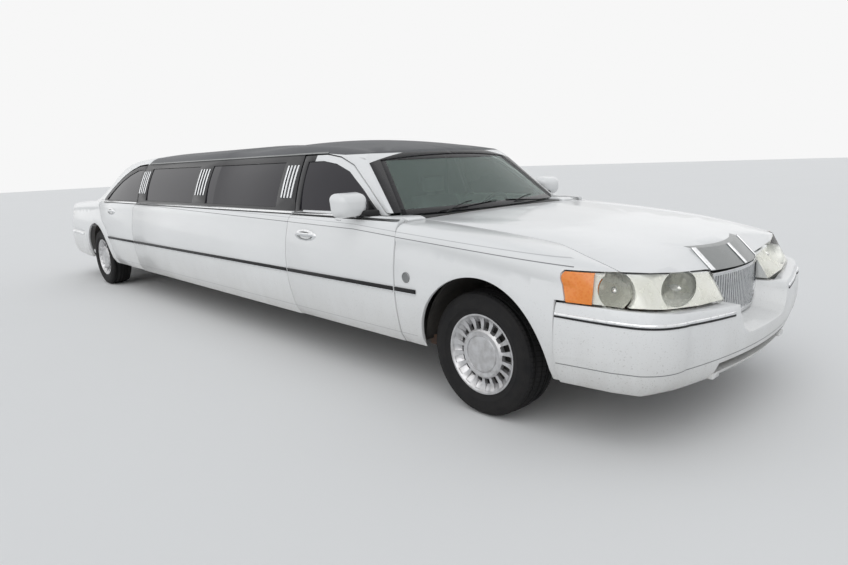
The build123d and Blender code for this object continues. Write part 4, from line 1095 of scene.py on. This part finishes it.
def add_reflector(bezel, sign, row, body):
    """Sinks one reflector bowl with its bulb into the headlamp bezel."""
    x, y, z, radii, degrees, low, high = row
    turn = math.radians(degrees)
    place = Vector((AXLE + x, sign * y, z))
    bowl = turned_ball("reflector_bowl", radii, place, -sign * turn, 48, 24)
    cutter = copy_mesh(bowl, "cutter")
    cutter.data.materials.append(FINISHES["reflector"].material)
    carve(bezel, cutter)
    look = Vector((math.cos(turn), sign * math.sin(turn), 0))
    cut_by(bowl, (place, look), limit(2, high), limit(2, low, -1))
    modify(bowl, "SOLIDIFY", thickness=0.002, offset=1)
    wear(smooth(bowl, 60), "reflector", body)
    bulb = turned_ball("headlamp_bulb", (0.03, 0.014, 0.014), place - look * 0.012,
                       sign * turn, 20, 12)
    shift(bulb, lambda c, n: n.dot(look) < -0.9, tuple(look * -0.02), "FACE")
    wear(smooth(bulb, 60), "bright", body)


class LIMO_OT_lamps(bpy.types.Operator):
    """Headlamps: bezel with two reflectors, bulbs, amber corner and clear lens"""

    bl_idname = "limousine.lamps"
    bl_label = "Lamps"

    def execute(self, context):
        body = body_of("headlamps")
        bezel = copy_of("headlamps", "headlamp_bezel")
        cut_by(bezel, limit(0, AXLE + 0.45, -1))
        edit_all(bezel)
        bpy.ops.transform.resize(value=(1, 0.99, 0.96), center_override=(AXLE + 0.7, 0, 0.738))
        bpy.ops.transform.translate(value=(-0.014, 0, 0))
        done()
        wear(bezel, "bezel", body)
        for side, sign in SIDES:
            for row in BOWLS:
                add_reflector(bezel, sign, row, body)
        smooth(bezel, 35)
        stand_in(bezel, "headlamps")

        def facing(c, n):
            return n.x > 0.35 or abs(n.y) > 0.5

        strip_of("headlamps", "headlamp_lens", "lens", facing,
                 [limit(0, AXLE + CLEAR_FROM, -1)], 0.003, 0.001, -1)
        strip_of("headlamps", "side_lamp_lens", "amber", facing,
                 [limit(0, AXLE + CLEAR_FROM)], 0.008, 0.001, -1)
        dressed("tail_lamps", "tail_lamp_lens", "lamp_red", (0.006, 3, 35))
        return {"FINISHED"}


def bumper_skin(c, n):
    return n.x > 0.35 or n.y * c.y > 0.35 * abs(c.y)


# Front bumper strip from the wheel arch to the grille: from the axle, from the middle, height
BUMPER_STRIP = [(0.497, 0.971, 0.634), (0.625, 0.958, 0.63), (0.756, 0.934, 0.626),
                (0.86, 0.902, 0.622), (0.943, 0.837, 0.62), (0.982, 0.693, 0.612),
                (1.005, 0.524, 0.603), (1.025, 0.36, 0.596)]


class LIMO_OT_nose(bpy.types.Operator):
    """Grille, header with its ridge, bumper strips, badge discs and trunk strip"""

    bl_idname = "limousine.nose"
    bl_label = "Nose and bumpers"

    def execute(self, context):
        dressed("grille", "grille_bars", "grille", (0.0012, 2, 30))
        dressed("hood_header", "header_panel", "header", (0.004, 3, 30))
        for name, limits in (("header_ridge", between(1, -0.011, 0.011)),
                             ("header_edge_left", [limit(1, 0.256, -1)]),
                             ("header_edge_right", [limit(1, -0.256)])):
            strip_of("hood_header", name, "chrome", lambda c, n: n.x > 0.3 and n.z > 0.2,
                     limits, 0.008, 0.003)
        skin = bpy.data.objects["front_bumper_skin"]
        for side, sign in SIDES:
            path = run_through([(AXLE + x, sign * y, z) for x, y, z in BUMPER_STRIP])
            strip = ribbon("bumper_strip_" + side, path, (0, 0, 0.014), skin, 0.007, 0.002)
            ride_along(strip, "chrome", "front_bumper")
            path = [(x, y, z - 0.009) for x, y, z in path]
            strip = ribbon("bumper_strip_foot_" + side, path, (0, 0, 0.009), skin, 0.005, 0.0015)
            ride_along(strip, "black_plastic", "front_bumper")
            strip_of("rear_bumper", "rear_bumper_strip_" + side, "chrome",
                     lambda c, n: n.x < -0.35 or n.y * c.y > 0.35 * abs(c.y),
                     [limit(1, sign * 0.4, -sign), limit(0, AXLE - 6.6)]
                     + between(2, 0.578, 0.602), 0.007, 0.003)
            badge = lathe("badge_disc_" + side, [
                (0, 0.0005), (0, 0.024), (sign * 0.002, 0.025), (sign * 0.003, 0.028),
                (sign * 0.001, 0.03), (-sign * 0.004, 0.03)],
                (AXLE - 0.46, sign * 0.9875, 0.7), 32)
            ride_along(badge, "header", "front_fenders")
        strip_of("front_bumper", "bumper_groove", "header", bumper_skin,
                 between(2, 0.4085, 0.4125) + [limit(0, AXLE + 0.5, -1)], 0.0006, 0.0002)
        strip_of("trunk_lid", "trunk_strip", "chrome", lambda c, n: n.x < -0.5,
                 between(2, 0.822, 0.842) + between(1, -0.415, 0.415), 0.006, 0.002)
        return {"FINISHED"}


class LIMO_OT_glass(bpy.types.Operator):
    """Windscreen border, cowl and wipers"""

    bl_idname = "limousine.glass"
    bl_label = "Glass and wipers"

    def execute(self, context):
        for name, limits in (
                ("screen_border_top", [limit(2, 1.336, -1)]),
                ("screen_border_foot", [limit(2, 1.042)]),
                ("screen_border_left", [((0, 0.632, 1.216), (0, -1, -0.474))]),
                ("screen_border_right", [((0, -0.632, 1.216), (0, 1, -0.474))])):
            strip_of("windscreen", name, "black_pillar",
                     lambda c, n: n.x > 0.25 and n.z > 0.25, limits, 0.0012, 0.0003)
        body = body_of("windscreen")
        wear(slice_of("floor_and_firewall", "cowl_top", lambda c, n: n.z > 0.3,
                      [limit(2, 0.955, -1)], 0.0015, 0.0004), "black_plastic", body)
        for side, sign in SIDES:
            strip_of("windscreen_frame", "windscreen_side_" + side, "black_pillar",
                     lambda c, n: n.x > 0.2 and n.z > 0.2,
                     [limit(1, 0, -sign), ((AXLE - 0.95, sign * 0.738, 0), (-0.31, sign, 0)),
                      limit(0, AXLE - 1.085, -1)], 0.002, 0.0006)
            corner = block("cowl_corner_" + side, (AXLE - 0.775, sign * 0.7, 0.972),
                           (AXLE - 0.579, sign * 0.842, 0.999), 4)
            shift(corner, lambda c, n: n.z > 0.5 and c.x < AXLE - 0.6, (0, 0, 0.012))
            ride_along(round_edges(corner, 0.006, 3), "paint", "windscreen_frame")
        glass = frame["nodes"]["windscreen"]
        for name, pivot, y in (("left", 0.12, 0.36), ("right", -0.5, -0.26)):
            blade = run_through([(AXLE - 0.63, y - 0.26, 1.04), (AXLE - 0.61, y, 1.05),
                                 (AXLE - 0.63, y + 0.26, 1.046)], 8)
            wear(ribbon("wiper_blade_" + name, blade, (0.008, 0, 0.012), glass, 0.006, 0.004),
                 "black_plastic", body)
            arm = run_through([(AXLE - 0.612, pivot, 1.006), (AXLE - 0.618, pivot + 0.05, 1.026),
                               (AXLE - 0.622, y - 0.08, 1.052), (AXLE - 0.622, y, 1.062)], 5)
            wear(ribbon("wiper_arm_" + name, arm, (0.012, 0, 0.004)), "black_plastic", body)
        return {"FINISHED"}


CLOTH_FRAMES = 20
CLOTH_PRESSURE = 4.0


def swell(obj, cap=0.014, voxel=0.012):
    """Fills a pad with air as cloth and keeps every point within a cap of its start."""
    modify(obj, "REMESH", mode="VOXEL", voxel_size=voxel)
    before = [corner.co.copy() for corner in obj.data.vertices]
    only(obj)
    scene = bpy.context.scene
    scene.frame_set(1)
    cloth = obj.modifiers.new("Cloth", "CLOTH")
    cloth.settings.use_pressure = True
    cloth.settings.uniform_pressure_force = CLOTH_PRESSURE
    cloth.settings.quality = 4
    cloth.settings.effector_weights.gravity = 0.0
    cloth.point_cache.frame_start = 1
    cloth.point_cache.frame_end = CLOTH_FRAMES
    for number in range(1, CLOTH_FRAMES + 1):
        scene.frame_set(number)
    bpy.ops.object.modifier_apply(modifier=cloth.name)
    scene.frame_set(1)
    for corner, start in zip(obj.data.vertices, before):
        move = corner.co - start
        if move.length > cap:
            corner.co = start + move * (cap / move.length)
    modify(obj, "SMOOTH", factor=0.5, iterations=4)
    modify(obj, "SUBSURF", levels=1, render_levels=1)
    return smooth(obj, 60)


def pad(name, low, high, tilt=0.0, about=None, air=True):
    """A cushion in a box, smaller by a little so that it can swell; its sides pull in."""
    room, pinch = 0.012, 0.01
    obj = block(name, [v + room for v in low], [v - room for v in high])
    pick(obj, lambda c, d: True, "EDGE")
    bpy.ops.mesh.subdivide(number_cuts=7)
    done()
    middle = [(p + q) / 2 for p, q in zip(low, high)]
    half = [(q - p) / 2 for p, q in zip(low, high)]
    for corner in obj.data.vertices:
        place = [(c - m) / h for c, m, h in zip(corner.co, middle, half)]
        for i in range(3):
            j, k = (n for n in range(3) if n != i)
            edge = max(0.0, 1 - abs(place[j])) * max(0.0, 1 - abs(place[k]))
            corner.co[i] += place[i] * pinch * (edge - 0.6)
    round_edges(obj, 0.022, 3)
    if air:
        swell(obj)
    else:
        modify(obj, "SUBSURF", levels=2, render_levels=2)
        smooth(obj, 60)
    if tilt:
        turn_across(obj, tilt, about)
    return obj


def upholster(obj, name, body):
    obj.name = name
    obj.data.name = name
    wear(obj, "leather", body)


def upholster_pair(obj, body):
    """Finishes a left pad and its mirrored right one."""
    name = obj.name
    upholster(obj, name + "_left", body)
    upholster(twin(obj, name + "_right", mirror_y=True), name + "_right", body)


class LIMO_OT_seats(bpy.types.Operator):
    """Swells the leather pads of the front seats and of the rear lounge"""

    bl_idname = "limousine.seats"
    bl_label = "Seats"

    def execute(self, context):
        body = body_of("front_seats")
        x, y = AXLE - 1.28, 0.4
        turn = (AXLE - 1.56, y, 0.8)
        head = AXLE - 1.652
        front = [
            pad("seat_cushion", (x - 0.2, y - 0.245, 0.44), (x + 0.258, y + 0.245, 0.58)),
            pad("seat_back", (turn[0] - 0.065, y - 0.255, 0.64),
                (turn[0] + 0.065, y + 0.255, 1.075), math.radians(16), turn),
            pad("seat_head", (head - 0.045, y - 0.13, 1.06),
                (head + 0.045, y + 0.13, 1.205), air=False),
        ]
        for obj in front:
            upholster_pair(obj, body)
        bases = []
        for side, sign in SIDES:
            bases.append(block("base", (x - 0.185, sign * y - 0.2, 0.349),
                               (x + 0.185, sign * y + 0.2, 0.446)))
            for step in (-0.06, 0.06):
                bases.append(rod("post", 0.006, 0.1, (head, sign * y + step, 1.035)))
        base = round_edges(join("seat_bases", *bases), 0.004, 2)
        stand_in(wear(base, "black_plastic", body), "front_seats")

        def lounge_pad(name, low, high):
            return pad(name, (AXLE + low[0],) + low[1:], (AXLE + high[0],) + high[1:])

        for row in (("lounge_cushion", (-5.69, 0.003, 0.51), (-5.192, 0.563, 0.648)),
                    ("lounge_back", (-5.898, 0.003, 0.512), (-5.7, 0.563, 1.056))):
            upholster_pair(lounge_pad(*row), body)
        length = 0.7
        for row in (("side_cushion", (-4.4, 0.282, 0.442), (-3.702, 0.636, 0.588)),
                    ("side_back", (-4.4, 0.65, 0.442), (-3.702, 0.785, 0.976))):
            name, first = row[0], lounge_pad(*row)
            upholster(first, name + "_rear", body)
            for number, part in ((1, "middle"), (2, "front")):
                upholster(twin(first, name + "_" + part, place=(number * length, 0, 0)),
                          name + "_" + part, body)
        feet = [block("foot", (AXLE - 5.535, y0, 0.349), (AXLE - 5.24, y1, 0.516))
                for y0, y1 in ((-0.54, -0.17), (0.17, 0.54))]
        feet.append(block("foot", (AXLE - 4.3, 0.34, 0.349), (AXLE - 2.4, 0.7, 0.446)))
        feet = round_edges(join("lounge_bases", *feet), 0.004, 2)
        stand_in(wear(feet, "black_plastic", body), "lounge_seats")
        return {"FINISHED"}


class LIMO_OT_swap(bpy.types.Operator):
    """Hides the CAD nodes that dressed pieces stand in for"""

    bl_idname = "limousine.swap"
    bl_label = "Swap nodes"

    def execute(self, context):
        for obj, node in STAND_INS:
            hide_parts(node)
        return {"FINISHED"}


class LIMO_PT_panel(bpy.types.Panel):
    """Lists the limousine's pieces"""

    bl_idname = "LIMO_PT_panel"
    bl_label = "Limousine"
    bl_space_type = "VIEW_3D"
    bl_region_type = "UI"
    bl_category = "Limousine"

    def draw(self, context):
        for group in (context.scene.limousine_colours, context.scene.limousine_sizes):
            for key in group.bl_rna.properties.keys():
                if key not in ("rna_type", "name"):
                    self.layout.prop(group, key)
        for step in STEPS:
            self.layout.operator(step.bl_idname)


STEPS = [
    STAGE_OT_studio,
    LIMO_OT_finishes,
    LIMO_OT_panels,
    LIMO_OT_side_trim,
    LIMO_OT_handles,
    LIMO_OT_mirrors,
    LIMO_OT_wheels,
    LIMO_OT_lamps,
    LIMO_OT_nose,
    LIMO_OT_glass,
    LIMO_OT_seats,
    LIMO_OT_swap,
]
GROUPS = [LimousineColours, LimousineSizes]


def register():
    for item in GROUPS + STEPS + [LIMO_PT_panel]:
        bpy.utils.register_class(item)
    bpy.types.Scene.limousine_colours = bpy.props.PointerProperty(type=LimousineColours)
    bpy.types.Scene.limousine_sizes = bpy.props.PointerProperty(type=LimousineSizes)


def unregister():
    del bpy.types.Scene.limousine_sizes
    del bpy.types.Scene.limousine_colours
    for item in reversed(GROUPS + STEPS + [LIMO_PT_panel]):
        bpy.utils.unregister_class(item)


def main():
    register()
    for step in STEPS:
        area, action = step.bl_idname.split(".")
        getattr(getattr(bpy.ops, area), action)()


if __name__ == "__main__":
    main()
